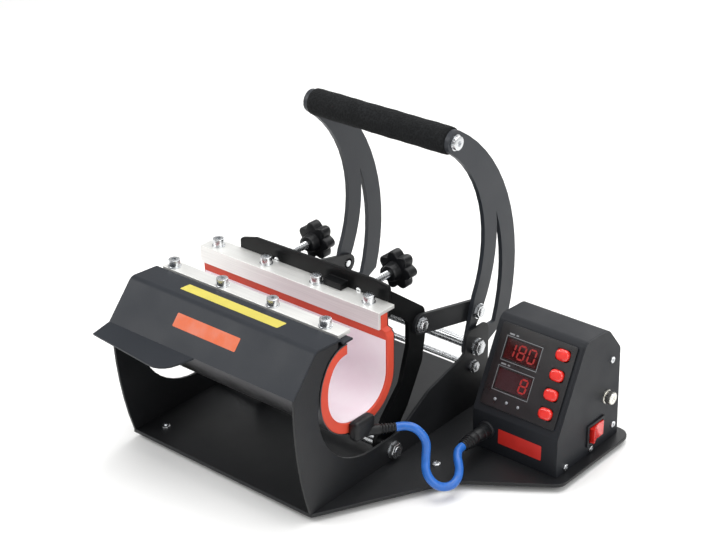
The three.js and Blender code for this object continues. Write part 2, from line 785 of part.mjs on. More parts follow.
function jaw() {
  const end = at(-crossLeftReach, crossEndTopZ);
  const crossShape = new THREE.Shape(roundedOutline([
    at(-crossLeftReach, crossBottomZ + crossThickness), at(-crossRightReach, crossBottomZ - crossThickness),
    at(-crossRightReach, crossTopZ - crossThickness / 2), at(-crossRightReach - crossStep, crossTopZ),
    at(end.x + crossStep, crossTopZ - crossThickness / 2), end,
  ], [crossThickness, crossThickness, crossThickness, crossStep / 2, crossStep / 2, crossThickness]));
  const tabLeftX = boltXs[1] + washerRadius + clampTabGap;
  const tab = block(
    tabLeftX, tabLeftX + clampTabWidth,
    crossFrontY - clampTabDepth, crossFrontY + crossThickness / 2,
    barTopZ, barTopZ + clampTabHeight,
  );
  const studHoles = knobXs.map((x) => rodAlongY(
    crossFrontY - cutOverrun, crossRearY + cutOverrun, x,
    knobAxisZ, studRadius + boreClearance, smallRoundSides,
  ));
  const cross = pierced(joined(plateAlongY(crossShape, crossFrontY, crossRearY), tab), ...studHoles);
  addPiece('jaw_cross_member', cross, finishes.frameBlack);

  sides.forEach(({ word, sign }) => {
    const [lowX, highX] = sideSpan(sign, jawArmInner, jawArmOuter);
    const hole = (y, z, radius) => (
      rodAlongX(lowX - cutOverrun, highX + cutOverrun, y, z, radius + boreClearance)
    );
    const arm = pierced(
      plateAlongX(jawArmShape(), lowX, highX),
      hole(jawShaftY, jawShaftZ, jawShaftRadius),
      hole(headPinY, headPinZ, pinRadius),
    );
    addPiece(`jaw_arm_${word}`, arm, finishes.frameBlack);
  });
}

// A pin through two plates, with a head on its outer end and a nut on its inner end
function headedPin(sign, y, z, innerEnd, innerFace, outerFace, headHeight) {
  const [shankLow, shankHigh] = sideSpan(sign, innerEnd, outerFace);
  const [headLow, headHigh] = sideSpan(sign, outerFace, outerFace + headHeight);
  const [nutLow, nutHigh] = sideSpan(sign, innerEnd, innerFace);
  const parts = [
    rodAlongX(shankLow, shankHigh, y, z, pinRadius, smallRoundSides),
    rodAlongX(headLow, headHigh, y, z, pinHeadRadius, hexSides),
  ];
  if (innerFace > innerEnd) {
    parts.push(rodAlongX(nutLow, nutHigh, y, z, pinHeadRadius, hexSides));
  }
  return joined(...parts);
}

function pins() {
  sides.forEach(({ word, sign }) => {
    const head = headedPin(
      sign, headPinY, headPinZ, jawArmInner - pinHeadHeight,
      jawArmInner, linkOuter + linkGap, pinHeadHeight,
    );
    addPiece(`jaw_pin_${word}`, head, finishes.zinc);
    const crank = headedPin(
      sign, crankPinY, crankPinZ, linkInner - linkGap, linkInner - linkGap, armOuter, pinHeadHeight,
    );
    addPiece(`crank_pin_${word}`, crank, finishes.zinc);
  });
}

// The two arcs of the crescent arm, each from its lower end to the grip
function armArcs() {
  const heel = at(handleShaftY + heelReach, handleShaftZ + heelRise);
  const throat = at(handleShaftY + throatReach, handleShaftZ + throatRise);
  const gripSide = at(Math.cos(gripEndTurn), Math.sin(gripEndTurn)).multiplyScalar(gripEndRadius);
  const grip = at(gripY, gripZ);
  const behind = grip.clone().add(gripSide);
  const before = grip.clone().sub(gripSide);
  return {
    outer: {
      low: heel, high: behind, radius: armOuterArcRadius,
      centre: arcCentre(heel, behind, armOuterArcRadius),
    },
    inner: {
      low: throat, high: before, radius: armInnerArcRadius,
      centre: arcCentre(throat, before, armInnerArcRadius),
    },
  };
}

// The crescent arm: its front arc up to the grip, its rear arc down to the heel, and the foot round
// the shaft
function handleArmShape() {
  const { outer, inner } = armArcs();
  const front = arcPoints(
    inner.centre, inner.radius, angleTo(inner.centre, inner.low), angleTo(inner.centre, inner.high),
  );
  const rear = arcPoints(
    outer.centre, outer.radius, angleTo(outer.centre, outer.high), angleTo(outer.centre, outer.low),
  );
  return new THREE.Shape([
    ...front, ...rear,
    at(handleShaftY + armBossRadius / 2, handleShaftZ - armBossRadius),
    at(handleShaftY, handleShaftZ - armBossRadius), at(handleShaftY - armBossRadius, handleShaftZ),
  ]);
}

// The slot between the arm's two legs, which narrows to a point at its top, where its two sides meet
function armSlotShape() {
  const { outer, inner } = armArcs();
  const rearRadius = outer.radius - rearLegWidth;
  const frontRadius = inner.radius + frontLegWidth;
  const apart = inner.centre.distanceTo(outer.centre);
  const across = inner.centre.clone().sub(outer.centre).normalize();
  const along = (apart ** 2 + rearRadius ** 2 - frontRadius ** 2) / (2 * apart);
  const aside = Math.sqrt(rearRadius ** 2 - along ** 2);
  const sideways = at(across.y, -across.x).multiplyScalar(aside);
  const tip = across.clone().multiplyScalar(along).add(sideways).add(outer.centre);
  const floorZ = handleShaftZ + slotFloorRise;
  const rearFoot = -Math.asin((outer.centre.y - floorZ) / rearRadius);
  const frontFoot = -Math.asin((inner.centre.y - floorZ) / frontRadius);
  return new THREE.Shape([
    ...arcPoints(outer.centre, rearRadius, rearFoot, angleTo(outer.centre, tip)),
    ...arcPoints(inner.centre, frontRadius, angleTo(inner.centre, tip), frontFoot).slice(1),
  ]);
}

function handle() {
  sides.forEach(({ word, sign }) => {
    const [lowX, highX] = sideSpan(sign, armInner, armOuter);
    const boss = (y, z, radius) => rodAlongX(lowX, highX, y, z, radius);
    const hole = (y, z, radius) => (
      rodAlongX(lowX - cutOverrun, highX + cutOverrun, y, z, radius + boreClearance)
    );
    const blank = joined(
      plateAlongX(handleArmShape(), lowX, highX),
      boss(handleShaftY, handleShaftZ, armBossRadius),
      boss(gripY, gripZ, gripEndRadius),
    );
    const arm = pierced(
      blank,
      plateAlongX(armSlotShape(), lowX - cutOverrun, highX + cutOverrun),
      hole(handleShaftY, handleShaftZ, handleShaftRadius),
      hole(crankPinY, crankPinZ, pinRadius),
      hole(gripY, gripZ, pinRadius),
    );
    addPiece(`handle_arm_${word}`, arm, finishes.coverGrey);
    const bolt = headedPin(
      sign, gripY, gripZ, armInner - gripBoltDepth, armInner - gripBoltDepth, armOuter, pinHeadHeight,
    );
    addPiece(`grip_bolt_${word}`, bolt, finishes.zinc);
  });
  const [tubeLow, tubeHigh] = [handleCentreX - armInner, handleCentreX + armInner];
  const bore = rodAlongX(tubeLow - cutOverrun, tubeHigh + cutOverrun, gripY, gripZ, gripTubeBoreRadius);
  const tube = pierced(rodAlongX(tubeLow, tubeHigh, gripY, gripZ, gripTubeRadius), bore);
  addPiece('grip_tube', tube, finishes.zinc);
  const sleeveBore = rodAlongX(
    tubeLow - cutOverrun, tubeHigh + cutOverrun, gripY, gripZ, gripTubeRadius + boreClearance,
  );
  const sleeve = pierced(
    rodAlongX(tubeLow + seatGap, tubeHigh - seatGap, gripY, gripZ, gripRadius), sleeveBore,
  );
  addPiece('foam_grip', sleeve, finishes.foamBlack);
}

// A toggle link from the jaw pin to the crank pin, with a hole at the crank pin that is wide enough
// for its lost motion
function links() {
  const along = at(headPinY - crankPinY, headPinZ - crankPinZ);
  const square = at(-along.y, along.x).normalize().multiplyScalar(linkEndRadius);
  const crank = at(crankPinY, crankPinZ);
  const head = at(headPinY, headPinZ);
  const web = new THREE.Shape([
    crank.clone().add(square), head.clone().add(square),
    head.clone().sub(square), crank.clone().sub(square),
  ]);
  sides.forEach(({ word, sign }) => {
    const [lowX, highX] = sideSpan(sign, linkInner, linkOuter);
    const link = pierced(
      joined(
        plateAlongX(web, lowX, highX),
        rodAlongX(lowX, highX, crank.x, crank.y, linkEndRadius),
        rodAlongX(lowX, highX, head.x, head.y, linkEndRadius),
      ),
      rodAlongX(lowX - cutOverrun, highX + cutOverrun, crank.x, crank.y, pinRadius + openPivotClearance),
      rodAlongX(lowX - cutOverrun, highX + cutOverrun, head.x, head.y, pinRadius + boreClearance),
    );
    addPiece(`link_${word}`, link, finishes.frameBlack);
  });
}

// A lobed knob with its hub and the threaded stud that bears on the rear bar
function pressureKnobs() {
  const lobePoints = knobLobes * pointsPerLobe;
  const rim = Array.from({ length: lobePoints }, (_, index) => {
    const angle = (2 * Math.PI * index) / lobePoints;
    const radius = knobRadius * (1 - knobLobeShare + knobLobeShare * Math.cos(knobLobes * angle));
    return at(Math.cos(angle), Math.sin(angle)).multiplyScalar(radius);
  });
  sides.forEach(({ word }, index) => {
    const x = knobXs[index];
    const star = plateAlongY(new THREE.Shape(rim), knobY, knobY + knobThickness).translate(x, 0, knobAxisZ);
    const hub = rodAlongY(knobY - knobHubLength, knobY + knobThickness / 2, x, knobAxisZ, knobHubRadius);
    const stud = rodAlongY(crossFrontY + boreClearance, knobY, x, knobAxisZ, studRadius, smallRoundSides);
    addPiece(`knob_${word}`, joined(star, hub, stud), finishes.plasticBlack);
  });
}

const boxLine = () => roundedOutline([
  at(boxFrontY, baseThickness), at(boxFrontY, boxSillZ), at(boxBrowY, boxTopZ),
  at(boxBackTopY, boxBackTopZ), at(boxShoulderY, boxShoulderZ), at(boxRearY, baseThickness),
], [0, boxSillRadius, boxTopRadius, boxTopRadius, boxTopRadius, 0], false);

// The slanted face carries its own axes: across, up the slope and out of the face
const slope = new THREE.Vector3(0, boxBrowY - boxFrontY, boxTopZ - boxSillZ);
const faceHeight = slope.length();
const faceWidth = boxRightX - boxLeftX;
const faceUp = slope.clone().normalize();
const faceOut = new THREE.Vector3().crossVectors(axisX, faceUp);
const faceFrame = new THREE.Matrix4().makeBasis(axisX, faceUp, faceOut)
  .setPosition(boxLeftX, boxFrontY, boxSillZ);

function roundedBlock(lowX, highX, lowY, highY, lowZ, highZ, corner) {
  const outline = roundedOutline(
    [at(lowX, lowY), at(highX, lowY), at(highX, highY), at(lowX, highY)],
    [corner, corner, corner, corner],
  );
  return extrude(new THREE.Shape(outline), highZ - lowZ).translate(0, 0, lowZ);
}

function controlBox() {
  const coverX = boxRightX - boxWall;
  const line = boxLine();
  const wrap = plateAlongX(bentSheet(line, -boxWall, 0), boxLeftX, coverX);
  const cheek = plateAlongX(new THREE.Shape(line), boxLeftX, boxLeftX + boxWall);
  const windowInset = fasciaInset + fasciaLap;
  const window = block(
    windowInset, faceWidth - windowInset, fasciaBottom + fasciaLap,
    fasciaTop - fasciaLap, -boxWall * 2, boxWall * 2,
  ).applyMatrix4(faceFrame);
  const socketHole = rodAlongY(
    boxFrontY - cutOverrun, boxFrontY + boxWall * 2, socketX, socketZ, socketBarrelRadius + boreClearance,
  );
  const inletHole = block(
    inletX - inletWidth / 2 + inletRim - boreClearance, inletX + inletWidth / 2 - inletRim + boreClearance,
    boxRearY - boxWall * 4, boxRearY + cutOverrun,
    inletZ - inletHeight / 2 + inletRim - boreClearance,
    inletZ + inletHeight / 2 - inletRim + boreClearance,
  );
  const underside = block(
    boxLeftX - cutOverrun, boxRightX + cutOverrun, boxFrontY - cutOverrun, boxRearY + cutOverrun,
    0, baseThickness,
  );
  const shell = pierced(joined(wrap, cheek), window, socketHole, inletHole, underside);
  addPiece('control_box_shell', shell, finishes.boxBlack);

  const rockerHalf = rockerFrameLength / 2 - rockerBodyInset + boreClearance;
  const rockerTall = rockerFrameHeight / 2 - rockerBodyInset + boreClearance;
  const cover = pierced(
    plateAlongX(new THREE.Shape(line), coverX, boxRightX),
    block(
      coverX - cutOverrun, boxRightX + cutOverrun, rockerY - rockerHalf, rockerY + rockerHalf,
      rockerZ - rockerTall, rockerZ + rockerTall,
    ),
    rodAlongX(coverX - cutOverrun, boxRightX + cutOverrun, fuseY, fuseZ, fuseBarrelRadius + boreClearance),
  );
  addPiece('control_box_side_cover', cover, finishes.boxBlack);
}

function controlPanel() {
  faceFrame.decompose(panelGroup.position, panelGroup.quaternion, panelGroup.scale);
  press.add(panelGroup);
  const top = seatGap + fasciaThickness;
  const holes = [
    ...displayBottoms.map((low) => block(
      displayLeft, displayLeft + displayWidth, low, low + displayHeight, -cutOverrun, top + cutOverrun,
    )),
    ...buttonHeights.map((centre) => roundedBlock(
      buttonCentre - buttonWidth / 2, buttonCentre + buttonWidth / 2,
      centre - buttonDepth / 2, centre + buttonDepth / 2, -cutOverrun, top + cutOverrun, buttonCorner,
    )),
  ];
  const sheet = roundedBlock(
    fasciaInset, faceWidth - fasciaInset, fasciaBottom, fasciaTop, seatGap, top, buttonCorner,
  );
  addPiece('control_fascia', pierced(sheet, ...holes), finishes.fasciaBlack, panelGroup);

  displayBottoms.forEach((low, index) => {
    const display = block(
      displayLeft + boreClearance, displayLeft + displayWidth - boreClearance,
      low + boreClearance, low + displayHeight - boreClearance, -boardDepth + seatGap, top - displayRecess,
    );
    addPiece(index === 0 ? 'display_lower' : 'display_upper', display, finishes.displayGlass, panelGroup);
  });
  buttonHeights.forEach((centre, index) => {
    const cap = roundedBlock(
      buttonCentre - buttonWidth / 2 + boreClearance, buttonCentre + buttonWidth / 2 - boreClearance,
      centre - buttonDepth / 2 + boreClearance, centre + buttonDepth / 2 - boreClearance,
      -boardDepth + buttonTravel + seatGap, top + buttonProud, buttonCorner - boreClearance,
    );
    addPiece(`button_${index + 1}`, cap, finishes.buttonRed, panelGroup);
  });
  const board = block(
    boardInset, faceWidth - boardInset, boardInset,
    faceHeight - boardInset, -boardDepth - boardThickness, -boardDepth,
  );
  const standoffAcross = [boardInset + standoffInset, faceWidth - boardInset - standoffInset];
  const standoffUp = [boardInset + standoffInset, faceHeight - boardInset - standoffInset];
  const standoffs = standoffAcross.flatMap((across) => standoffUp.map((up) => rodAlongZ(
    -boardDepth - boardThickness / 2, -boxWall - seatGap, across, up, standoffRadius, smallRoundSides,
  )));
  addPiece('controller_board', joined(board, ...standoffs), finishes.boardGreen, panelGroup);
}

// The rocker switch: a frame with a well, and a paddle that tips about an upright pin in it
function rockerSwitch() {
  const halfLength = rockerFrameLength / 2;
  const halfHeight = rockerFrameHeight / 2;
  const faceX = boxRightX + rockerFrameProud;
  const flange = block(
    boxRightX, faceX, rockerY - halfLength, rockerY + halfLength,
    rockerZ - halfHeight, rockerZ + halfHeight,
  );
  const body = block(
    boxRightX - rockerBodyDepth, boxRightX + rockerFrameProud / 2,
    rockerY - halfLength + rockerBodyInset, rockerY + halfLength - rockerBodyInset,
    rockerZ - halfHeight + rockerBodyInset, rockerZ + halfHeight - rockerBodyInset,
  );
  const well = block(
    boxRightX - rockerBodyDepth + rockerWellInset, faceX + cutOverrun,
    rockerY - halfLength + rockerWellInset, rockerY + halfLength - rockerWellInset,
    rockerZ - halfHeight + rockerWellInset, rockerZ + halfHeight - rockerWellInset,
  );
  addPiece('rocker_frame', pierced(joined(flange, body), well), finishes.plasticBlack);

  const half = paddleLength / 2;
  const keelStart = -Math.PI * keelStartShare;
  const keelEnd = -Math.PI * keelEndShare;
  const keel = arcPoints(at(0, 0), paddleKeelRadius, keelStart, keelEnd);
  const outline = new THREE.Shape([
    at(half, paddleRise + paddlePivotDepth), at(0, paddleSaddle + paddlePivotDepth),
    at(-half, paddleRise + paddlePivotDepth), at(-half, 0), ...keel.reverse(), at(half, 0),
  ]);
  const paddle = extrude(outline, paddleHeight).translate(0, 0, -paddleHeight / 2);
  paddle.rotateZ(-Math.PI / 2 + paddleTilt);
  paddle.translate(faceX - paddlePivotDepth, rockerY, rockerZ);
  addPiece('rocker_paddle', paddle, finishes.buttonRed);
}

function boxFittings() {
  const fuse = joined(
    rodAlongX(boxRightX, boxRightX + fuseCapLength, fuseY, fuseZ, fuseCapRadius),
    rodAlongX(boxRightX - fuseBarrelDepth, boxRightX + fuseCapLength / 2, fuseY, fuseZ, fuseBarrelRadius),
  );
  addPiece('fuse_holder', fuse, finishes.zinc);

  const socket = joined(
    rodAlongY(boxFrontY - socketFlangeThickness, boxFrontY, socketX, socketZ, socketFlangeRadius),
    rodAlongY(
      boxFrontY - socketFlangeThickness / 2,
      boxFrontY + socketBarrelDepth, socketX, socketZ, socketBarrelRadius,
    ),
  );
  addPiece('heater_socket', socket, finishes.plasticBlack);

  const half = inletWidth / 2;
  const tall = inletHeight / 2;
  const rearWallY = boxRearY + inletProud;
  const flange = block(
    inletX - half, inletX + half, boxRearY + seatGap, rearWallY + seatGap, inletZ - tall, inletZ + tall,
  );
  const body = block(
    inletX - half + inletRim, inletX + half - inletRim, rearWallY - inletBodyDepth, rearWallY,
    inletZ - tall + inletRim, inletZ + tall - inletRim,
  );
  const well = block(
    inletX - half + inletRim * 2, inletX + half - inletRim * 2,
    rearWallY - inletWellDepth, rearWallY + cutOverrun,
    inletZ - tall + inletRim * 2, inletZ + tall - inletRim * 2,
  );
  addPiece('power_inlet', pierced(joined(flange, body), well), finishes.plasticBlack);
}

// A straight tapered sleeve between two points
function taperedSleeve(start, end, startRadius, endRadius, ringSides) {
  const length = start.distanceTo(end);
  const geometry = new THREE.CylinderGeometry(endRadius, startRadius, length, ringSides);
  const turn = new THREE.Quaternion().setFromUnitVectors(axisY, end.clone().sub(start).normalize());
  geometry.applyQuaternion(turn);
  const middle = start.clone().add(end).divideScalar(2);
  return geometry.translate(middle.x, middle.y, middle.z);
}

function heaterLead() {
  const section = new THREE.Shape(Array.from({ length: leadSides }, (_, index) => {
    const angle = (2 * Math.PI * index) / leadSides;
    return at(Math.cos(angle), Math.sin(angle)).multiplyScalar(leadRadius);
  }));
  const path = new THREE.CatmullRomCurve3(leadRoute);
  const lead = new THREE.ExtrudeGeometry(
    section, { steps: leadSteps, extrudePath: path, bevelEnabled: false },
  );
  addPiece('heater_lead', lead, finishes.leadBlue);

  const plugRearY = boxFrontY - socketFlangeThickness;
  const plugFrontY = plugRearY - plugLength;
  const plug = joined(
    rodAlongY(plugFrontY + plugNeckLength, plugRearY, socketX, socketZ, plugRadius),
    rodAlongY(
      plugFrontY, plugFrontY + plugNeckLength, socketX, socketZ, plugNeckRadius, roundSides, plugRadius,
    ),
  );
  addPiece('lead_plug', plug, finishes.rubberBlack);

  const blockLeftX = wrapRightX + seatGap;
  const blockTopZ = wrapBottomZ + glandBlockRise;
  const terminal = block(
    blockLeftX, blockLeftX + glandBlockWidth,
    glandBlockFrontY, glandBlockFrontY + glandBlockDepth,
    blockTopZ - glandBlockHeight, blockTopZ,
  );
  const gland = joined(
    terminal, taperedSleeve(sleeveStart, sleeveEnd, sleeveRadius, sleeveEndRadius, smallRoundSides),
  );
  addPiece('wrap_lead_gland', gland, finishes.rubberBlack);
}

basePlate();
feet();
endPlates();
crossRods();
frontCover();
clampBars();
barBolts();
heatedWrap();
jaw();
pins();
handle();
links();
pressureKnobs();
controlBox();
controlPanel();
rockerSwitch();
boxFittings();
heaterLead();

// The origin goes to the middle of the press, on the surface it stands on; the free lead doesn't count
press.updateMatrixWorld(true);
const loosePieces = ['heater_lead', 'lead_plug'];
const bounds = new THREE.Box3();
press.traverse((child) => {
  if (child.isMesh && !loosePieces.includes(child.name)) {
    bounds.expandByObject(child, true);
  }
});
const middle = bounds.getCenter(new THREE.Vector3());
press.position.set(-middle.x, -middle.y, -bounds.min.z);

const model = new THREE.Group();
model.add(press);

export default model;
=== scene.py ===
"""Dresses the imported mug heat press: rounded edges, turned fasteners, the heated wrap and the finishes.

Shapes are drawn in millimetres from the right front corner of the cradle, +X right, +Y rear, +Z up.
"""

import math

import bmesh
import bpy
from mathutils import Matrix, Vector


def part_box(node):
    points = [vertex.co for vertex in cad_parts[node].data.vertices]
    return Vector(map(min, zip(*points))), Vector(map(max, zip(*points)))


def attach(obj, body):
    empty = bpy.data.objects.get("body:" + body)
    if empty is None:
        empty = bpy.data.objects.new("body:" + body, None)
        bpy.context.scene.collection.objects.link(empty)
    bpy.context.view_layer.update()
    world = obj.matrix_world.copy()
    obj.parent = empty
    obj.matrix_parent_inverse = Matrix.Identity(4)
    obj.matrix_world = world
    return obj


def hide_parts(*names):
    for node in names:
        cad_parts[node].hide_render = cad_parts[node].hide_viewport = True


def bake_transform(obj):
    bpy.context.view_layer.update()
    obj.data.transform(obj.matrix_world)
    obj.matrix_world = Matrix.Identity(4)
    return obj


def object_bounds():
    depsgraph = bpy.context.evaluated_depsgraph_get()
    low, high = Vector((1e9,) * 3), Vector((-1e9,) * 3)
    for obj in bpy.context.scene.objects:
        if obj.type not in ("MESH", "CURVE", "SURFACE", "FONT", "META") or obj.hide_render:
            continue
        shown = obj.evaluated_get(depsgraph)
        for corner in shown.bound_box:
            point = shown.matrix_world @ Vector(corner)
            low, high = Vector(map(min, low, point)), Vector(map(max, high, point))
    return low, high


bl_info = {
    "name": "Mug Heat Press Dressing",
    "version": (1, 0, 0),
    "blender": (4, 5, 0),
    "location": "View3D > Sidebar > Mug Press",
    "description": "Finishes the shapes and materials of a packed mug heat press",
    "category": "Object",
}

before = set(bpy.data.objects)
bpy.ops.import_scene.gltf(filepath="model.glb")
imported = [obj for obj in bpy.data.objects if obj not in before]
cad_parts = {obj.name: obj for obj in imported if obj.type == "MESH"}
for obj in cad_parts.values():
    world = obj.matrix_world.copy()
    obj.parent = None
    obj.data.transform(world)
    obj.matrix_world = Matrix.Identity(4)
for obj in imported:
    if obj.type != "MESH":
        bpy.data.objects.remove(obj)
cad_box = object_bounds()

MM = 1000  # Millimetres in a metre
WIDTH = 250  # Between the outer faces of the end plates
BASE_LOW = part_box("base_plate")[0]
CORNER = Vector((BASE_LOW.x + WIDTH / MM, BASE_LOW.y, BASE_LOW.z))
FROM_MM = Matrix.Translation(CORNER) @ Matrix.Scale(1 / MM, 4)
TO_MM = FROM_MM.inverted()
RIGHT = Vector((1, 0, 0))
REAR = Vector((0, 1, 0))
UP = Vector((0, 0, 1))
WAVE_BANDS = 3.14  # About as many bands as a wave texture draws over one unit


# Colour and node helpers


def linear(code):
    """Turns an sRGB hex code into a linear colour with full alpha."""
    shares = [int(code[i : i + 2], 16) / 255 for i in (0, 2, 4)]
    return tuple(c / 12.92 if c <= 0.04045 else ((c + 0.055) / 1.055) ** 2.4 for c in shares) + (1.0,)


def toned(colour, share):
    """A colour made lighter or darker by a share."""
    return tuple(min(1.0, c * share) for c in colour[:3]) + (1.0,)


def add_node(tree, kind, inputs=None, **settings):
    """Adds a node, sets its properties, and gives each input a value or a link."""
    made = tree.nodes.new(kind)
    for name, value in settings.items():
        setattr(made, name, value)
    for name, value in (inputs or {}).items():
        if isinstance(value, bpy.types.NodeSocket):
            tree.links.new(value, made.inputs[name])
        else:
            made.inputs[name].default_value = value
    return made


def per_mm(size):
    """The texture scale on Object coordinates that gives features of a size in millimetres."""
    return MM / size


def drifting(tree, pattern, colour, shades, roughness, gloss=None):
    """A colour and a roughness, each drifting between its two ends with a pattern."""
    dark, light = (toned(colour, share) for share in shades)
    base = add_node(tree, "ShaderNodeMix", {0: pattern, 6: dark, 7: light}, data_type="RGBA")
    # Most of a noise lies between 0.3 and 0.7
    spread = {"Value": pattern if gloss is None else gloss, "From Min": 0.3, "From Max": 0.7}
    spread.update({"To Min": roughness[0], "To Max": roughness[1]})
    return base.outputs[2], add_node(tree, "ShaderNodeMapRange", spread).outputs[0]


def ended(tree, base, roughness, values, relief=None, strength=0.0, depth=0.0):
    """Ends a material with its relief, as deep as given in metres, its shader and the output."""
    inputs = {"Base Color": base, "Roughness": roughness, **values}
    if relief is not None:
        bump = add_node(tree, "ShaderNodeBump", {"Height": relief, "Strength": strength, "Distance": depth})
        inputs["Normal"] = bump.outputs[0]
    shader = add_node(tree, "ShaderNodeBsdfPrincipled", inputs)
    add_node(tree, "ShaderNodeOutputMaterial", {"Surface": shader.outputs[0]})


def clouded(tree, place, colour, cloud, shades, roughness, values, relief=None):
    """A surface whose colour and gloss drift in clouds, with a relief over it where one is given.

    cloud is the noise's (size in mm, detail), and relief (size in mm, detail, strength, depth in metres).
    """
    patterns = []
    for size, detail in [cloud] + ([relief[:2]] if relief else []):
        inputs = {"Vector": place, "Scale": per_mm(size), "Detail": detail}
        patterns.append(add_node(tree, "ShaderNodeTexNoise", inputs).outputs[0])
    base, rough = drifting(tree, patterns[0], colour, shades, roughness)
    if relief:
        ended(tree, base, rough, values, patterns[1], *relief[2:])
    else:
        ended(tree, base, rough, values)


# Materials


def powder_coat(tree, place, colour, roughness, gloss):
    # Real orange peel is about 0.6 mm and is drawn at 1.6 mm so that it shows. Handling leaves slightly
    # duller patches, about 45 mm across, and pale specks of dust are about 1.2 mm
    peel, patches, dust = (
        add_node(
            tree, "ShaderNodeTexNoise", {"Vector": place, "Scale": per_mm(size), "Detail": detail}
        ).outputs[0]
        for size, detail in ((1.6, 3), (45, 3), (1.2, 1))
    )
    body, rough = drifting(tree, patches, colour, (0.88, 1.14), (roughness - 0.05, roughness + 0.07))
    specks = add_node(
        tree, "ShaderNodeMapRange",
        {"Value": dust, "From Min": 0.68, "From Max": 0.8, "To Min": 0.0, "To Max": 0.35},
    )
    base = add_node(
        tree, "ShaderNodeMix", {0: specks.outputs[0], 6: body, 7: toned(colour, 1.9)}, data_type="RGBA"
    )
    ended(tree, base.outputs[2], rough, {"IOR": 1.5, "Specular IOR Level": gloss}, peel, 0.35, 0.0002)


def plated_metal(tree, place, colour, roughness, grain_mm):
    # Plating crystals and tumbling marks, over soft clouds about 9 mm across
    grain, cloud = (
        add_node(
            tree, "ShaderNodeTexNoise", {"Vector": place, "Scale": per_mm(size), "Detail": detail}
        ).outputs[0]
        for size, detail in ((grain_mm, 4), (9, 2))
    )
    base, rough = drifting(tree, cloud, colour, (0.86, 1.08), (roughness - 0.06, roughness + 0.08), grain)
    ended(tree, base, rough, {"Metallic": 1.0}, grain, 0.25, 0.0001)


def brushed_metal(tree, place, colour, roughness, line_mm, metallic):
    # The brushing runs along the bars, so the pattern is long in X and fine across it
    scale = (per_mm(60), per_mm(line_mm), per_mm(line_mm))
    drawn = add_node(tree, "ShaderNodeMapping", {"Vector": place, "Scale": scale}).outputs[0]
    lines, cloud = (
        add_node(tree, "ShaderNodeTexNoise", {"Vector": vector, "Scale": size, "Detail": detail}).outputs[0]
        for vector, size, detail in ((drawn, 1.0, 3), (place, per_mm(40), 2))
    )
    base, rough = drifting(tree, lines, colour, (0.82, 1.12), (roughness - 0.05, roughness + 0.08), cloud)
    ended(tree, base, rough, {"Metallic": metallic}, lines, 0.2, 0.0001)


def silicone_rubber(tree, place, colour):
    # The press cloth leaves a fine print in the cured sheet, drawn at 1.5 mm so that it shows
    wave = {"Vector": place, "Scale": per_mm(1.5) / WAVE_BANDS, "Distortion": 0.4}
    across, upward = (
        add_node(tree, "ShaderNodeTexWave", wave, bands_direction=way).outputs[1] for way in ("X", "Z")
    )
    both = add_node(tree, "ShaderNodeMath", {0: across, 1: upward}, operation="ADD")
    cloud = add_node(tree, "ShaderNodeTexNoise", {"Vector": place, "Scale": per_mm(22), "Detail": 3.0})
    base, rough = drifting(tree, cloud.outputs[0], colour, (0.85, 1.12), (0.5, 0.64))
    values = {"IOR": 1.43, "Subsurface Weight": 0.06, "Subsurface Radius": (0.002, 0.0006, 0.0004)}
    ended(tree, base, rough, values, both.outputs[0], 0.25, 0.0001)


def coated_cloth(tree, place, colour, thread_mm):
    # The cloth's own UV map is in millimetres across and along the bend, so the threads follow the sheet
    sheet = add_node(tree, "ShaderNodeUVMap", uv_map="cloth").outputs[0]
    wave = {"Vector": sheet, "Scale": 1 / thread_mm / WAVE_BANDS, "Distortion": 0.3}
    warp, weft = (
        add_node(tree, "ShaderNodeTexWave", wave, bands_direction=way).outputs[1] for way in ("X", "Y")
    )
    weave = add_node(tree, "ShaderNodeMath", {0: warp, 1: weft}, operation="MULTIPLY").outputs[0]
    spread = add_node(tree, "ShaderNodeTexNoise", {"Vector": place, "Scale": per_mm(30), "Detail": 4.0})
    # Use tints the coating in clouds, and the gaps between the threads are darker
    stain, gaps = (
        add_node(
            tree, "ShaderNodeMapRange",
            {"Value": value, "From Min": low, "From Max": high, "To Min": 0.0, "To Max": most},
        ).outputs[0]
        for value, low, high, most in ((spread.outputs[0], 0.4, 0.72, 0.55), (weave, 0.0, 1.0, 0.16))
    )
    tinted = add_node(tree, "ShaderNodeMix", {0: stain, 6: colour, 7: linear("E4CFDA")}, data_type="RGBA")
    base = add_node(
        tree, "ShaderNodeMix", {0: gaps, 6: tinted.outputs[2], 7: toned(colour, 0.72)}, data_type="RGBA"
    )
    ended(tree, base.outputs[2], 0.62, {"IOR": 1.38, "Sheen Weight": 0.15}, weave, 0.3, 0.0002)


def foam_rubber(tree, place, colour):
    # Open cells of about 0.5 mm, drawn at 2 mm so that they show, painted dark in their pits as shade and
    # lighter on their rims
    cells = add_node(tree, "ShaderNodeTexVoronoi", {"Vector": place, "Scale": per_mm(2)}).outputs["Distance"]
    swell = add_node(tree, "ShaderNodeTexNoise", {"Vector": place, "Scale": per_mm(16), "Detail": 2.0})
    base, rough = drifting(tree, cells, colour, (0.35, 2.0), (0.86, 0.98), swell.outputs[0])
    ended(tree, base, rough, {"IOR": 1.45, "Specular IOR Level": 0.2}, cells, 0.9, 0.0006)


def moulded_plastic(tree, place, colour, roughness, grain_mm, grain_strength):
    # The flow in the mould leaves clouds about 14 mm across, under the grain of the mould's own surface
    clouded(
        tree, place, colour, (14, 2), (0.88, 1.14), (roughness - 0.04, roughness + 0.06),
        {"IOR": 1.5, "Specular IOR Level": 0.3}, (grain_mm, 2, grain_strength, 0.0001),
    )


def lead_sheath(tree, place, colour):
    # Extrusion leaves soft swellings along the sheath, and handling a faint dull film
    values = {"IOR": 1.53, "Subsurface Weight": 0.08, "Subsurface Radius": (0.0003, 0.0008, 0.002)}
    clouded(tree, place, colour, (6, 3), (0.75, 1.25), (0.3, 0.46), values, (6, 3, 0.2, 0.0005))


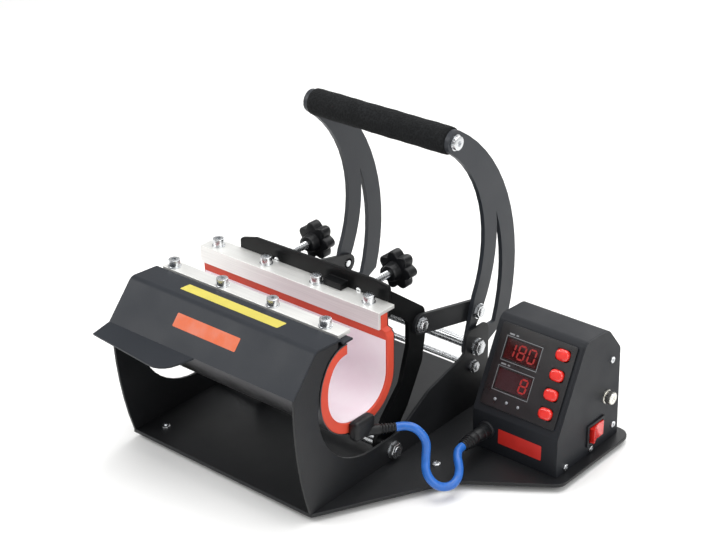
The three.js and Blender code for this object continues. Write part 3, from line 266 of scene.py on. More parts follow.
def printed_film(tree, place, colour, roughness):
    # Fine hard-coat texture of the film, and a soft haze where fingers have been
    clouded(
        tree, place, colour, (18, 2), (0.85, 1.2), (roughness - 0.04, roughness + 0.08), {"IOR": 1.58},
        (0.8, 1, 0.08, 0.0001),
    )


def smoked_window(tree, place, colour):
    # The dark panes of an unlit display: faint columns behind tinted acrylic
    values = {"IOR": 1.49, "Coat Weight": 0.3, "Coat Roughness": 0.05}
    clouded(tree, place, colour, (9, 1), (0.7, 1.3), (0.1, 0.18), values)


def gloss_abs(tree, place, colour):
    # Clear-coated caps, a little cloudy where the plastic flowed
    values = {
        "IOR": 1.54, "Subsurface Weight": 0.1, "Subsurface Radius": (0.002, 0.0004, 0.0003),
        "Coat Weight": 0.5,
    }
    clouded(tree, place, colour, (7, 2), (0.82, 1.2), (0.14, 0.22), values)


def lit_segment(tree, place, colour, strength):
    # The light of a display digit thins out a little along each bar
    glow = add_node(tree, "ShaderNodeTexNoise", {"Vector": place, "Scale": per_mm(3), "Detail": 1.0})
    base, light = (
        add_node(
            tree, "ShaderNodeMix", {0: glow.outputs[0], 6: toned(colour, low), 7: toned(colour, high)},
            data_type="RGBA",
        ).outputs[2]
        for low, high in ((0.8, 1.1), (0.7, 1.0))
    )
    ended(tree, base, 0.4, {"Emission Color": light, "Emission Strength": strength})


def circuit_board(tree, place, colour):
    # Copper tracks under the solder mask, about 2.4 mm apart
    tracks = add_node(
        tree, "ShaderNodeTexBrick",
        {
            "Vector": place, "Scale": per_mm(6), "Mortar Size": 0.04, "Color1": toned(colour, 0.9),
            "Color2": toned(colour, 1.15), "Mortar": toned(colour, 1.9),
        },
    )
    ended(tree, tracks.outputs[0], 0.45, {"IOR": 1.5})


def adhesive_vinyl(tree, place, colour):
    # Scuffs about 12 mm across over the fine grain of the film
    clouded(tree, place, colour, (12, 4), (0.86, 1.1), (0.34, 0.5), {"IOR": 1.5}, (1.5, 2, 0.12, 0.0001))


def studio_floor(tree, place, colour):
    # Seamless paper, hardly uneven at all
    paper = add_node(tree, "ShaderNodeTexNoise", {"Vector": place, "Scale": per_mm(400), "Detail": 2.0})
    shades = {0: paper.outputs[0], 6: toned(colour, 0.99), 7: toned(colour, 1.01)}
    base = add_node(tree, "ShaderNodeMix", shades, data_type="RGBA")
    ended(tree, base.outputs[2], 0.75, {"IOR": 1.45})


def finishes(look):
    """Each finish: the material's name, its slot in the record, what builds it and with which values."""
    return {
        # Polyester powder baked on steel: satin black with a fine orange peel
        "frame": ("black powder-coated steel", "powder_black", powder_coat, look.frame_colour, 0.42, 0.3),
        # The same powder in a dark grey with less gloss, the grey painted darker than the arms' as shade
        # against the strong light on the cover's slope
        "cover": ("grey powder-coated steel", "powder_grey", powder_coat, look.cover_colour, 0.44, 0.19),
        # The same powder as the cover, glossier, and a tenth lighter than the cover's grey, which carries
        # painted shade
        "arm": (
            "satin powder-coated steel", "powder_grey",
            powder_coat, toned(look.cover_colour, 1.1), 0.38, 0.32,
        ),
        # The jaw is dipped in a deeper, smoother black than the rest of the frame
        "jaw": ("black baked enamel", "powder_black", powder_coat, linear("0B0C0D"), 0.36, 0.14),
        # A textured powder: rougher and duller than the frame's
        "box": ("textured powder-coated steel", "powder_black", powder_coat, look.box_colour, 0.5, 0.22),
        # Zinc-plated steel fasteners: bright, slightly cloudy
        "zinc": ("zinc-plated steel", "zinc_steel", plated_metal, linear("DADCDE"), 0.24, 1.2),
        # Nickel over brass: bright and a little warm
        "nickel": ("nickel-plated brass", "zinc_steel", plated_metal, linear("EAE8E0"), 0.26, 1.0),
        # Zinc-plated flat bar with a satin grain, only part metallic, so that its pale colour also paints in
        # the white reflection of a bright light
        "bar": ("passivated zinc-plated bar", "bar_steel", brushed_metal, linear("E6E6E3"), 0.42, 0.7, 0.6),
        # Thin stainless band with a brushed grain along the wrap, its colour painted dark as the shade under
        # the cover
        "band": (
            "heat-tarnished stainless band", "band_steel", brushed_metal, linear("5E5E60"), 0.42, 0.6, 1.0,
        ),
        # Cured silicone sheet: a soft sheen and light that sinks in a little
        "pad": ("red silicone rubber", "silicone_red", silicone_rubber, look.pad_colour),
        # PTFE-coated glass cloth; the threads are 0.5 mm and drawn at 1.4 mm so that they show
        "liner": ("PTFE-coated glass cloth", "liner_cloth", coated_cloth, tuple(look.liner_colour), 1.4),
        # Nitrile foam, cut open: quite matt, with painted shade in its pits
        "foam": ("black NBR foam", "foam_black", foam_rubber, linear("141516")),
        # Glass-filled nylon straight from a polished mould
        "knob": ("moulded black nylon", "plastic_black", moulded_plastic, linear("101113"), 0.32, 0.9, 0.15),
        # Polycarbonate from a finely etched mould: matt
        "trim": (
            "matt black polycarbonate", "plastic_black", moulded_plastic, linear("1C1D20"), 0.48, 0.8, 0.3,
        ),
        # Filled rubber from a plain mould: dull
        "foot": ("moulded black rubber", "rubber_black", moulded_plastic, linear("1A1B1C"), 0.72, 1.0, 0.4),
        # Soft PVC moulded over a cable's end: a low sheen
        "boot": ("black PVC boot", "plastic_black", moulded_plastic, linear("141517"), 0.4, 1.0, 0.25),
        # Extruded PVC: glossy and slightly translucent
        "sheath": ("blue PVC lead sheath", "lead_blue", lead_sheath, look.lead_colour),
        # Polyester film, printed from behind: deep black under a hard coat
        "film": ("black printed polyester film", "fascia_black", printed_film, linear("0E0F11"), 0.3),
        # Screen-printed ink: flat grey, hardly raised
        "print": ("grey screen print", "fascia_black", printed_film, linear("85888B"), 0.4),
        # Tinted acrylic over the display: dark red and glassy
        "window": ("smoked red acrylic", "display_window", smoked_window, linear("2A080A")),
        # ABS caps under a clear coat: bright and glossy
        "button": ("glossy red ABS", "switch_red", gloss_abs, look.button_colour),
        # Display digits, one bright and one dim
        "lit": ("lit red display segment", "display_window", lit_segment, look.digit_colour, 0.35),
        "dim": ("dim red display segment", "display_window", lit_segment, look.digit_colour, 0.08),
        # Epoxy lens of an unlit diode: pale and smooth
        "lens": ("pale diode lens", "display_window", moulded_plastic, linear("8F9297"), 0.3, 1.0, 0.05),
        # Glass-epoxy board under green solder mask
        "board": ("green circuit board", None, circuit_board, linear("1E5A38")),
        # Printed vinyl strips: even colour, slightly scuffed
        "yellow": ("yellow adhesive vinyl", "powder_grey", adhesive_vinyl, linear("C4B74E")),
        "orange": ("orange adhesive vinyl", "powder_grey", adhesive_vinyl, linear("C4500F")),
        "red": ("red adhesive vinyl", "powder_black", adhesive_vinyl, linear("C62A22")),
        # Pale paper of the studio floor
        "floor": ("pale studio floor", None, studio_floor, linear("F4F4F3")),
    }


def finish(surface):
    """A finish's material, built the first time that it is asked for, and its slot."""
    name, slot, build, *values = finishes(looks(bpy.context))[surface]
    made = bpy.data.materials.get(name)
    if made is None:
        made = bpy.data.materials.new(name)
        made.use_nodes = True
        tree = made.node_tree
        tree.nodes.clear()
        build(tree, add_node(tree, "ShaderNodeTexCoord").outputs["Object"], *values)
    return made, slot


# Shape helpers, in millimetres


def placed(base, axis):
    """A matrix that stands a shape made along +Z on a base point along an axis."""
    turn = UP.rotation_difference(Vector(axis)).to_matrix().to_4x4()
    return Matrix.Translation(Vector(base)) @ turn


def points_of(geometry):
    return [part for part in geometry if isinstance(part, bmesh.types.BMVert)]


def rounded_line(corners, radii, ring=False, steps=8):
    """Corners joined by straight runs, each corner rounded to its own radius."""
    line = []
    count = len(corners)
    for index, corner in enumerate(corners):
        here = Vector(corner)
        radius = radii[index]
        if radius == 0 or (not ring and index in (0, count - 1)):
            line.append(here)
            continue
        back = (Vector(corners[index - 1]) - here).normalized()
        ahead = (Vector(corners[(index + 1) % count]) - here).normalized()
        half = back.angle(ahead) / 2
        centre = here + (back + ahead).normalized() * (radius / math.sin(half))
        start = here + back * (radius / math.tan(half)) - centre
        end = here + ahead * (radius / math.tan(half)) - centre
        for step in range(steps + 1):
            line.append(centre + start.slerp(end, step / steps).normalized() * radius)
    return line


def soft_profile(points, radii, steps=4):
    """A turned profile with its corners rounded."""
    return [(p.x, p.y) for p in rounded_line(points, radii, steps=steps)]


def rounded_box(left, right, low, high, radius, steps=5):
    """The outline of a rectangle with rounded corners."""
    corners = [(left, low), (right, low), (right, high), (left, high)]
    return [(p.x, p.y) for p in rounded_line(corners, [radius] * 4, ring=True, steps=steps)]


def bevelled(shape, edges, offset, segments):
    bmesh.ops.bevel(
        shape, geom=edges, offset=offset, offset_type="OFFSET", segments=segments, profile=0.5,
        affect="EDGES", clamp_overlap=True, material=-1,
    )


def soften(shape, edge, hard_angle=32, segments=2):
    """Rounds the hard edges of a shape."""
    limit = math.radians(hard_angle)
    hard = [e for e in shape.edges if len(e.link_faces) == 2 and e.calc_face_angle(0) > limit]
    bevelled(shape, hard, edge, segments)


def closed(shape):
    """Merges a shape's doubles and turns its faces outwards."""
    bmesh.ops.remove_doubles(shape, verts=shape.verts, dist=0.0005)
    return outward(shape)


def outward(shape):
    bmesh.ops.recalc_face_normals(shape, faces=shape.faces)
    return shape


def drawn_out(shape, face, way):
    """Draws a face out along a way."""
    lifted = bmesh.ops.extrude_face_region(shape, geom=[face])["geom"]
    bmesh.ops.translate(shape, vec=way, verts=points_of(lifted))


def take_in(shape, other, place):
    """Adds another shape's faces to a shape, put in place, and frees the other."""
    bmesh.ops.transform(other, matrix=place, verts=other.verts)
    mesh = bpy.data.meshes.new("taken in")
    other.to_mesh(mesh)
    other.free()
    shape.from_mesh(mesh)
    bpy.data.meshes.remove(mesh)


def upright_prism(radius, height, sides):
    """A new shape: a prism that stands on the origin."""
    shape = bmesh.new()
    bmesh.ops.create_cone(
        shape, cap_ends=True, segments=sides, radius1=radius, radius2=radius, depth=height,
        matrix=Matrix.Translation((0, 0, height / 2)),
    )
    return shape


def add_turned(shape, base, axis, profile, sides=40):
    """A turned shape: the profile's (along, radius) points spun about the axis."""
    base = Vector(base)
    along = Vector(axis).normalized()
    side = along.orthogonal().normalized()
    verts = [shape.verts.new(base + along * far + side * radius) for far, radius in profile]
    edges = [shape.edges.new(pair) for pair in zip(verts, verts[1:])]
    bmesh.ops.spin(
        shape, geom=verts + edges, cent=base, axis=along, angle=math.tau, steps=sides, use_merge=True
    )
    bmesh.ops.remove_doubles(shape, verts=shape.verts, dist=0.0005)


def add_washer(shape, base, axis, inner, outer, height, sides):
    """A flat ring."""
    profile = [(0, inner), (0, outer), (height, outer), (height, inner), (0, inner)]
    add_turned(shape, base, axis, profile, sides)


def add_hex_nut(shape, base, axis, radius, height):
    """A hexagon nut with its outer corners chamfered."""
    own = upright_prism(radius, height, 6)
    rims = [e for e in own.edges if abs(e.verts[0].co.z - e.verts[1].co.z) < 0.01]
    bevelled(own, rims, height * 0.12, 1)
    take_in(shape, own, placed(base, axis))


def add_cap_head(shape, base, axis, radius, height, socket, sides=36):
    """A cap screw head with a rounded rim and a hexagon socket."""
    own = upright_prism(radius, height, sides)
    rim = [e for e in own.edges if all(v.co.z > height - 0.01 for v in e.verts)]
    bevelled(own, rim, radius * 0.12, 2)
    top = max((f for f in own.faces if f.normal.z > 0.99), key=lambda f: f.calc_center_median().z)
    bmesh.ops.inset_region(own, faces=[top], thickness=radius * 0.22)
    for vert in top.verts:
        # The inner ring is drawn in to a hexagon
        turn = math.atan2(vert.co.y, vert.co.x) % (math.tau / 6) - math.tau / 12
        reach = socket / math.cos(turn) / math.hypot(vert.co.x, vert.co.y)
        vert.co.x *= reach
        vert.co.y *= reach
    drawn_out(own, top, (0, 0, -height * 0.55))
    bmesh.ops.delete(own, geom=[top], context="FACES_ONLY")
    take_in(shape, outward(own), placed(base, axis))


def add_plate(shape, outline, thickness, place):
    """A flat plate: an outline in its own X and Y, given its thickness along +Z and put in place."""
    own = bmesh.new()
    drawn_out(own, own.faces.new([own.verts.new((x, y, 0)) for x, y in outline]), (0, 0, thickness))
    take_in(shape, outward(own), place)


def add_block(shape, low, high):
    size = Vector(high) - Vector(low)
    middle = (Vector(high) + Vector(low)) / 2
    bmesh.ops.create_cube(shape, size=1, matrix=Matrix.Translation(middle) @ Matrix.Diagonal((*size, 1)))


def made_piece(shape, name, surface, body, replaced=(), even=False, sharp_angle=50):
    """Turns a shape in millimetres into a finished piece that rides on its body, where it has one."""
    material, slot = finish(surface)
    bmesh.ops.transform(shape, matrix=FROM_MM, verts=shape.verts)
    mesh = bpy.data.meshes.new(name)
    shape.to_mesh(mesh)
    shape.free()
    mesh.shade_smooth()
    mesh.set_sharp_from_angle(angle=math.radians(sharp_angle))
    mesh.materials.append(material)
    piece = bpy.data.objects.new(name, mesh)
    bpy.context.scene.collection.objects.link(piece)
    if even:
        shading = piece.modifiers.new("Even shading", "WEIGHTED_NORMAL")
        shading.keep_sharp = True
    if body:
        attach(piece, body)
    if replaced:
        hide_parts(*replaced)
    return piece


def dress_copy(node, name, surface, body, edge, hard_angle=32, segments=2, even=True):
    """A piece that stands for a CAD node: its copy, merged, with flat faces joined and edges rounded."""
    shape = bmesh.new()
    shape.from_mesh(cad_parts[node].data)
    bmesh.ops.transform(shape, matrix=TO_MM, verts=shape.verts)
    bmesh.ops.remove_doubles(shape, verts=shape.verts, dist=0.003)
    bmesh.ops.dissolve_limit(shape, angle_limit=math.radians(0.5), verts=shape.verts, edges=shape.edges)
    soften(shape, edge, hard_angle, segments)
    # Large faces with slots and holes are cut up evenly so that they shade flat
    wide = [f for f in shape.faces if len(f.verts) > 4]
    bmesh.ops.triangulate(shape, faces=wide, quad_method="BEAUTY", ngon_method="BEAUTY")
    made_piece(shape, name, surface, body, [node], even)


# Places and sizes that several pieces share, in millimetres

BOLT_XS = [-30 - 68.8 * index for index in range(4)]
SIDES = {"left": -1, "right": 1}
HANDLE_X = -99  # Middle between the handle's arms
ARM_REACH = 95  # From there to an arm's outer face
PIN_HEAD = 4.4
GRIP_Y, GRIP_Z = 230.5, 319
KNOB_XS = {"knob_left": -165, "knob_right": -54}
KNOB_Z = 176
BOX_SIDE = 149
FUSE_Y, FUSE_Z = 289.3, 59.8
SOCKET_X, SOCKET_Z = 63, 28.5
STRIP_THICKNESS = 0.12

PANEL_ORIGIN = Vector((45, 202, 48))
PANEL_UP = Vector((0, 45, 91)).normalized()
PANEL_OUT = RIGHT.cross(PANEL_UP)
PANEL = Matrix.Translation(PANEL_ORIGIN) @ Matrix((RIGHT, PANEL_UP, PANEL_OUT)).transposed().to_4x4()
FILM_FRONT = 1.8  # Of the printed film, out from the panel's origin
DISPLAY_LOWS = {"display_lower": 27.5, "display_upper": 59}
BUTTON_ACROSS = 83
BUTTON_UPS = (21.5, 41.3, 61.6, 82.8)
# The left, right, lower and upper ends of each printed mark, over its display's lower edge, and its rounding
PANEL_MARKS = (
    (15.6, 59.4, -2, -1.5, 0), (15.6, 59.4, 23.5, 24, 0), (15.6, 16.1, -1.5, 23.5, 0),
    (58.9, 59.4, -1.5, 23.5, 0), (18, 24, 25.4, 27, 0.5), (26, 29, 25.4, 27, 0.5),
)
DIGIT_WIDTH, DIGIT_HEIGHT, DIGIT_BAR = 7.6, 14, 1.9
SEGMENTS = {
    "0": "abcdef", "1": "bc", "2": "abged", "3": "abgcd", "4": "fgbc", "5": "afgcd", "6": "afgedc",
    "7": "abc", "8": "abcdefg", "9": "abcdfg",
}

WRAP_LEFT, WRAP_RIGHT = -251, 1
WRAP_STEPS = 6
WRAP_CORNERS = [(57, 169.7), (35, 169.7), (16.5, 138), (16.5, 67.5), (128.6, 67.5), (128.6, 171.7)]
WRAP_RADII = [0, 34, 55, 52, 46, 0]
LEAD_ROUTE = [
    (26.8, 98.86, 67.01), (28.4, 100.64, 67.15), (32.3, 104.19, 67.67), (38.64, 108.1, 67.16),
    (44.24, 110.48, 64.55), (50.23, 112.8, 57.87), (53.08, 113.37, 49.71), (53.43, 112.72, 41.27),
    (55.07, 110.09, 32.67), (58.43, 106.37, 25.57), (64.53, 104.68, 18.76), (70.94, 107.24, 12.95),
    (76.38, 113.77, 9.44), (79.61, 122.1, 9.53), (79.75, 130.05, 12.81), (77.07, 136.41, 18.25),
    (72.93, 140.5, 22.73), (69.75, 143.41, 24.98), (65.6, 148.84, 27.24), (63.84, 153.34, 28.15),
    (63.13, 157.66, 28.45), (63, 160.2, 28.5),
]


# Properties


def colour_property(name, description, code):
    return bpy.props.FloatVectorProperty(
        name=name, description=description, subtype="COLOR", size=4, min=0, max=1, default=linear(code)
    )


class MugPressLooks(bpy.types.PropertyGroup):
    """Sizes and colours that a user would change."""

    frame_colour: colour_property("Frame coat", "Colour of the base, the end plates and the links", "1A1B1D")
    cover_colour: colour_property("Cover coat", "Colour of the front cover and the handle's arms", "25282D")
    box_colour: colour_property("Box coat", "Colour of the control box", "1D1F23")
    pad_colour: colour_property("Heater pad", "Colour of the silicone pad", "C8452F")
    liner_colour: colour_property("Liner", "Colour of the cloth inside the wrap", "EBE0E6")
    lead_colour: colour_property("Lead", "Colour of the heater lead", "1F63B8")
    button_colour: colour_property("Buttons", "Colour of the buttons and the power switch", "D9261E")
    digit_colour: colour_property("Digits", "Colour of the display's digits", "8E1A18")
    edge_rounding: bpy.props.FloatProperty(
        name="Sheet edge", description="Rounding of the sheet metal's edges", subtype="DISTANCE",
        unit="LENGTH", default=0.0005, min=0.0001, max=0.002, precision=5,
    )
    bolt_socket: bpy.props.FloatProperty(
        name="Bolt socket", description="Half the width across the flats of a bar bolt's socket",
        subtype="DISTANCE", unit="LENGTH", default=0.0026, min=0.001, max=0.004, precision=5,
    )
    display_temperature: bpy.props.IntProperty(
        name="Upper display", description="Number on the upper display", default=180, min=0, max=999
    )
    display_time: bpy.props.IntProperty(
        name="Lower display", description="Number on the lower display", default=8, min=0, max=999
    )


def looks(context):
    return context.scene.mug_press


def sheet_edge(context, share=1.0):
    """A share of the sheet metal's edge rounding, in millimetres."""
    return looks(context).edge_rounding * MM * share


# Operators


class MUGPRESS_OT_stage(bpy.types.Operator):
    """Lay the pale floor and set the camera and the soft lights"""

    bl_idname = "mug_press.stage"
    bl_label = "Stage"

    def execute(self, context):
        scene = context.scene
        # The camera stands where the photograph was taken from
        azimuth, rise, roll = 0.70294079, 0.457404672, -0.0112481256
        back = Vector((
            math.sin(azimuth) * math.cos(rise), -math.cos(azimuth) * math.cos(rise), math.sin(rise),
        ))
        right = Vector((math.cos(azimuth), math.sin(azimuth), 0))
        up = back.cross(right)
        right_rolled = right * math.cos(roll) + up * math.sin(roll)
        up_rolled = up * math.cos(roll) - right * math.sin(roll)
        lens = bpy.data.cameras.new("camera")
        lens.sensor_width = 36
        lens.lens = 83.55
        lens.shift_y = -0.01275
        lens.clip_end = 20
        camera = bpy.data.objects.new("camera", lens)
        facing = Matrix((right_rolled, up_rolled, back)).transposed().to_4x4()
        stand = FROM_MM @ Vector((902.6190, -990.2994, 937.4830))
        camera.matrix_world = Matrix.Translation(stand) @ facing
        scene.collection.objects.link(camera)
        scene.camera = camera

        floor_shape = bmesh.new()
        bmesh.ops.create_grid(floor_shape, x_segments=2, y_segments=2, size=6)
        floor_mesh = bpy.data.meshes.new("floor")
        floor_shape.to_mesh(floor_mesh)
        floor_shape.free()
        floor_mesh.materials.append(finish("floor")[0])
        floor = bpy.data.objects.new("floor", floor_mesh)
        floor.location.z = min(cad_box[0][2], 0)
        scene.collection.objects.link(floor)

        # Broad lights overhead, from the left front, from the right and, weaker, from behind
        target = FROM_MM @ Vector((-60, 150, 110))
        lights = (
            ("light over the press", (0.1, 0.2, 1.7), 1.6, 26),
            ("light from the left front", (-1.5, -1.3, 1.3), 1.2, 24),
            ("light from the right", (1.7, -0.3, 0.9), 1.2, 13),
            ("light from behind", (-0.3, 1.8, 1.3), 1.4, 14),
        )
        for name, offset, size, power in lights:
            lamp = bpy.data.lights.new(name, "AREA")
            lamp.shape = "SQUARE"
            lamp.size = size
            lamp.energy = power
            light = bpy.data.objects.new(name, lamp)
            light.location = target + Vector(offset)
            light.rotation_mode = "QUATERNION"
            light.rotation_quaternion = Vector(offset).to_track_quat("Z", "Y")
            scene.collection.objects.link(light)
        world = bpy.data.worlds.new("studio")
        world.use_nodes = True
        sky = world.node_tree.nodes.get("Background")
        sky.inputs["Color"].default_value = (1, 1, 1, 1)
        sky.inputs["Strength"].default_value = 0.55
        scene.world = world
        scene.view_settings.view_transform = "Standard"
        return {"FINISHED"}


class MUGPRESS_OT_heater_lead(bpy.types.Operator):
    """Run the blue heater lead from the wrap's sleeve to its plug, and make the plug's boot"""

    bl_idname = "mug_press.heater_lead"
    bl_label = "Heater lead"

    def execute(self, context):
        # Plug: a ribbed boot, a body and a collar against the socket
        profile = [(0, 0), (0, 4.7), (0.6, 5.2)]
        for index in range(4):
            start = 1.6 + index * 3.1
            low = 5.2 + (7 - 5.2) * index / 4
            profile += [(start, low), (start + 0.5, low + 0.9), (start + 1.7, low + 0.9), (start + 2.2, low)]
        profile += [
            (14.2, 6.6), (15, 7), (19, 7.2), (19.6, 6.7), (21, 6.7), (21.6, 7.2), (30.5, 7.2), (31.2, 8),
            (38.2, 8), (39, 7.3), (39, 0),
        ]
        shape = bmesh.new()
        add_turned(shape, (SOCKET_X, 160.5, SOCKET_Z), REAR, profile)
        plug = made_piece(closed(shape), "lead_plug_boot", "boot", "cradle", ["lead_plug"], sharp_angle=40)

        curve = bpy.data.curves.new("heater_lead_sheath", "CURVE")
        curve.dimensions = "3D"
        curve.bevel_depth = 0.0044
        curve.bevel_resolution = 6
        curve.resolution_u = 10
        curve.use_fill_caps = True
        spline = curve.splines.new("BEZIER")
        spline.bezier_points.add(len(LEAD_ROUTE) - 1)
        route = [FROM_MM @ Vector(p) for p in LEAD_ROUTE]
        for index, point in enumerate(spline.bezier_points):
            # Handles as long as a third of the way to each neighbour, along the line between both
            before = route[max(index - 1, 0)]
            after = route[min(index + 1, len(route) - 1)]
            way = (after - before).normalized()
            point.co = route[index]
            point.handle_left_type = point.handle_right_type = "FREE"
            point.handle_left = route[index] - way * (route[index] - before).length / 3
            point.handle_right = route[index] + way * (after - route[index]).length / 3
        curve.materials.append(finish("sheath")[0])
        lead = bpy.data.objects.new("heater_lead_sheath", curve)
        context.scene.collection.objects.link(lead)
        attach(lead, "cradle")
        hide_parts("heater_lead")
        return {"FINISHED"}


class MUGPRESS_OT_base_plate(bpy.types.Operator):
    """Round the base plate's edges, coat it and set the screws in it"""

    bl_idname = "mug_press.base_plate"
    bl_label = "Base plate"

    def execute(self, context):
        dress_copy("base_plate", "base_plate_coated", "frame", "cradle", sheet_edge(context, 1.2))
        shape = bmesh.new()
        for x, y in ((40, 147), (-24, 24), (-226, 24), (-226, 301), (138, 301), (60, 226), (134, 226)):
            add_cap_head(shape, (x, y, 3.9), UP, 4.6, 2.3, 1.9, sides=24)
        made_piece(shape, "base_screws", "zinc", "cradle", sharp_angle=35)
        return {"FINISHED"}


class MUGPRESS_OT_feet(bpy.types.Operator):
    """Turn the four rubber feet"""

    bl_idname = "mug_press.feet"
    bl_label = "Feet"

    def execute(self, context):
        places = {
            "foot_front_left": (-226, 24), "foot_front_right": (-24, 24),
            "foot_rear_left": (-226, 301), "foot_rear_right": (138, 301),
        }
        profile = soft_profile(
            [
                (-3.6, 0), (-3.6, 3.4), (-6, 3.4), (-6, 9), (-1.2, 10.6), (-0.9, 9.9), (-0.4, 9.9), (0, 10.8),
                (0, 0),
            ],
            [0, 0.4, 0.8, 1.1, 0.3, 0.2, 0.2, 0.2, 0],
        )
        for node, (x, y) in places.items():
            shape = bmesh.new()
            add_turned(shape, (x, y, 0), UP, profile, sides=36)
            made_piece(closed(shape), node + "_turned", "foot", "cradle", [node], sharp_angle=40)
        return {"FINISHED"}


class MUGPRESS_OT_end_plates(bpy.types.Operator):
    """Round the edges of the two end plates and coat them"""

    bl_idname = "mug_press.end_plates"
    bl_label = "End plates"

    def execute(self, context):
        for word in SIDES:
            node = "end_plate_" + word
            dress_copy(node, node + "_coated", "frame", "cradle", sheet_edge(context))
        return {"FINISHED"}


class MUGPRESS_OT_cross_rods(bpy.types.Operator):
    """Turn the three cross rods with their chamfered nuts and washers"""

    bl_idname = "mug_press.cross_rods"
    bl_label = "Cross rods"

    def execute(self, context):
        rods = (
            ("jaw_shaft", 127, 16, 5, 9, 6),
            ("handle_shaft", 268, 75, 6, 9, 6),
            ("tie_rod", 262, 54, 3, 6.5, 5),
        )
        for node, y, z, radius, nut, height in rods:
            shape = bmesh.new()
            reach = WIDTH + 2 * height
            profile = soft_profile(
                [(-0.6, 0), (-0.6, radius), (reach + 0.6, radius), (reach + 0.6, 0)], [0, 0.8, 0.8, 0]
            )
            add_turned(shape, (-WIDTH - height, y, z), RIGHT, profile, sides=32)
            closed(shape)
            for face, way in ((0, 1), (-WIDTH, -1)):
                add_washer(shape, (face, y, z), RIGHT * way, radius + 0.1, nut * 1.06, 1, 36)
                add_hex_nut(shape, (face + way, y, z), RIGHT * way, nut, height - 1)
            made_piece(outward(shape), node + "_turned", "zinc", "cradle", [node], sharp_angle=35)
        return {"FINISHED"}


class MUGPRESS_OT_front_cover(bpy.types.Operator):
    """Round the edges of the bent front cover and coat it"""

    bl_idname = "mug_press.front_cover"
    bl_label = "Front cover"

    def execute(self, context):
        edge = sheet_edge(context, 0.8)
        dress_copy("front_cover", "front_cover_coated", "cover", "cradle", edge, hard_angle=48)
        return {"FINISHED"}


class MUGPRESS_OT_clamp_bars(bpy.types.Operator):
    """Round the edges of the two bars that clamp the wrap and give them their plating"""

    bl_idname = "mug_press.clamp_bars"
    bl_label = "Clamp bars"

    def execute(self, context):
        for node, body in (("front_bar", "cradle"), ("rear_bar", "jaw")):
            dress_copy(node, node + "_plated", "bar", body, sheet_edge(context, 0.9))
        return {"FINISHED"}


class MUGPRESS_OT_bar_bolts(bpy.types.Operator):
    """Turn the eight cap screws and washers of the clamp bars"""

    bl_idname = "mug_press.bar_bolts"
    bl_label = "Bar bolts"

    def execute(self, context):
        socket = looks(context).bolt_socket * MM
        washer = soft_profile([(0, 0), (0, 7.2), (1.2, 7.2), (1.2, 0)], [0, 0.3, 0.3, 0], 2)
        rows = (("front_bolt_", "cradle", 61, 176.5, 170), ("rear_bolt_", "jaw", 126, 176, 172))
        for prefix, body, y, seat, low in rows:
            reach = seat - low + 0.5
            for index, x in enumerate(BOLT_XS):
                node = prefix + str(index + 1)
                shape = bmesh.new()
                add_turned(shape, (x, y, seat), UP, washer)
                add_turned(shape, (x, y, low), UP, [(0, 0), (0.5, 2.9), (reach, 2.9), (reach, 0)])
                closed(shape)
                add_cap_head(shape, (x, y, seat + 1.2), UP, 6.2, 7.4, socket)
                made_piece(shape, node + "_turned", "zinc", body, [node], sharp_angle=35)
        return {"FINISHED"}


def trim_wrap_corner(shape):
    """Cuts the wrap's upper corner round behind the jaw's right end."""
    bend = [Vector((x, 128, z)) for x, z in ((-7, 157), (-3.5, 155.95), (-1, 153.1), (0.5, 148.45), (1, 142))]
    # A cut straight down at the bar's end, then one along each short chord of the rounding
    cuts = [(bend[0], RIGHT)]
    for start, end in zip(bend, bend[1:]):
        cuts.append((start, Vector((start.z - end.z, 0, end.x - start.x)).normalized()))
    for index, (corner, normal) in enumerate(cuts):
        low_x = -60 if index == 0 else corner.x - 0.001
        near = []
        for face in shape.faces:
            middle = face.calc_center_median()
            if middle.y > 110 and middle.z > 125 and middle.x > low_x:
                near.append(face)
        touched = near + [e for f in near for e in f.edges] + [v for f in near for v in f.verts]
        bmesh.ops.bisect_plane(
            shape, geom=list(dict.fromkeys(touched)), dist=0.001, plane_co=corner, plane_no=normal
        )
        if index == 0:
            continue
        beyond = []
        for face in shape.faces:
            middle = face.calc_center_median()
            away = middle - corner
            if away.y > -14 and middle.x > bend[0].x and away.dot(normal) > 0.001:
                beyond.append(face)
        bmesh.ops.delete(shape, geom=beyond, context="FACES")


def wrap_sheet(near, far, front_trim, rear_top, low_x, high_x, edge):
    """A layer of the wrap: the bent line drawn out along X and given its thickness."""
    corners = [Vector(c) for c in WRAP_CORNERS]
    corners[0] = corners[0].lerp(corners[1], front_trim)
    corners[-1] = Vector((corners[-1].x, rear_top))
    line = rounded_line(corners, WRAP_RADII, steps=14)
    # Straight runs are cut into lengths of about 8 mm
    fine = [line[0]]
    for point in line[1:]:
        start = fine[-1]
        count = max(1, round((point - start).length / 8))
        fine += [start.lerp(point, step / count) for step in range(1, count + 1)]
    shape = bmesh.new()
    verts = []
    for index, point in enumerate(fine):
        way = (fine[min(index + 1, len(fine) - 1)] - fine[max(index - 1, 0)]).normalized()
        inner = point + Vector((-way.y, way.x)) * near
        verts.append(shape.verts.new((low_x, inner.x, inner.y)))
    edges = [shape.edges.new(pair) for pair in zip(verts, verts[1:])]
    for _ in range(WRAP_STEPS):
        drawn = bmesh.ops.extrude_edge_only(shape, edges=edges)["geom"]
        edges = [part for part in drawn if isinstance(part, bmesh.types.BMEdge)]
        bmesh.ops.translate(shape, vec=((high_x - low_x) / WRAP_STEPS, 0, 0), verts=points_of(drawn))
    trim_wrap_corner(shape)
    outward(shape)
    # The layer grows towards the mug, which lies on the inner side of the bend
    middle = min(shape.faces, key=lambda f: f.calc_center_median().z)
    if middle.normal.z > 0:
        bmesh.ops.reverse_faces(shape, faces=shape.faces)
    bmesh.ops.solidify(shape, geom=shape.faces, thickness=far - near)
    closed(shape)
    soften(shape, edge, hard_angle=60)
    return shape, fine


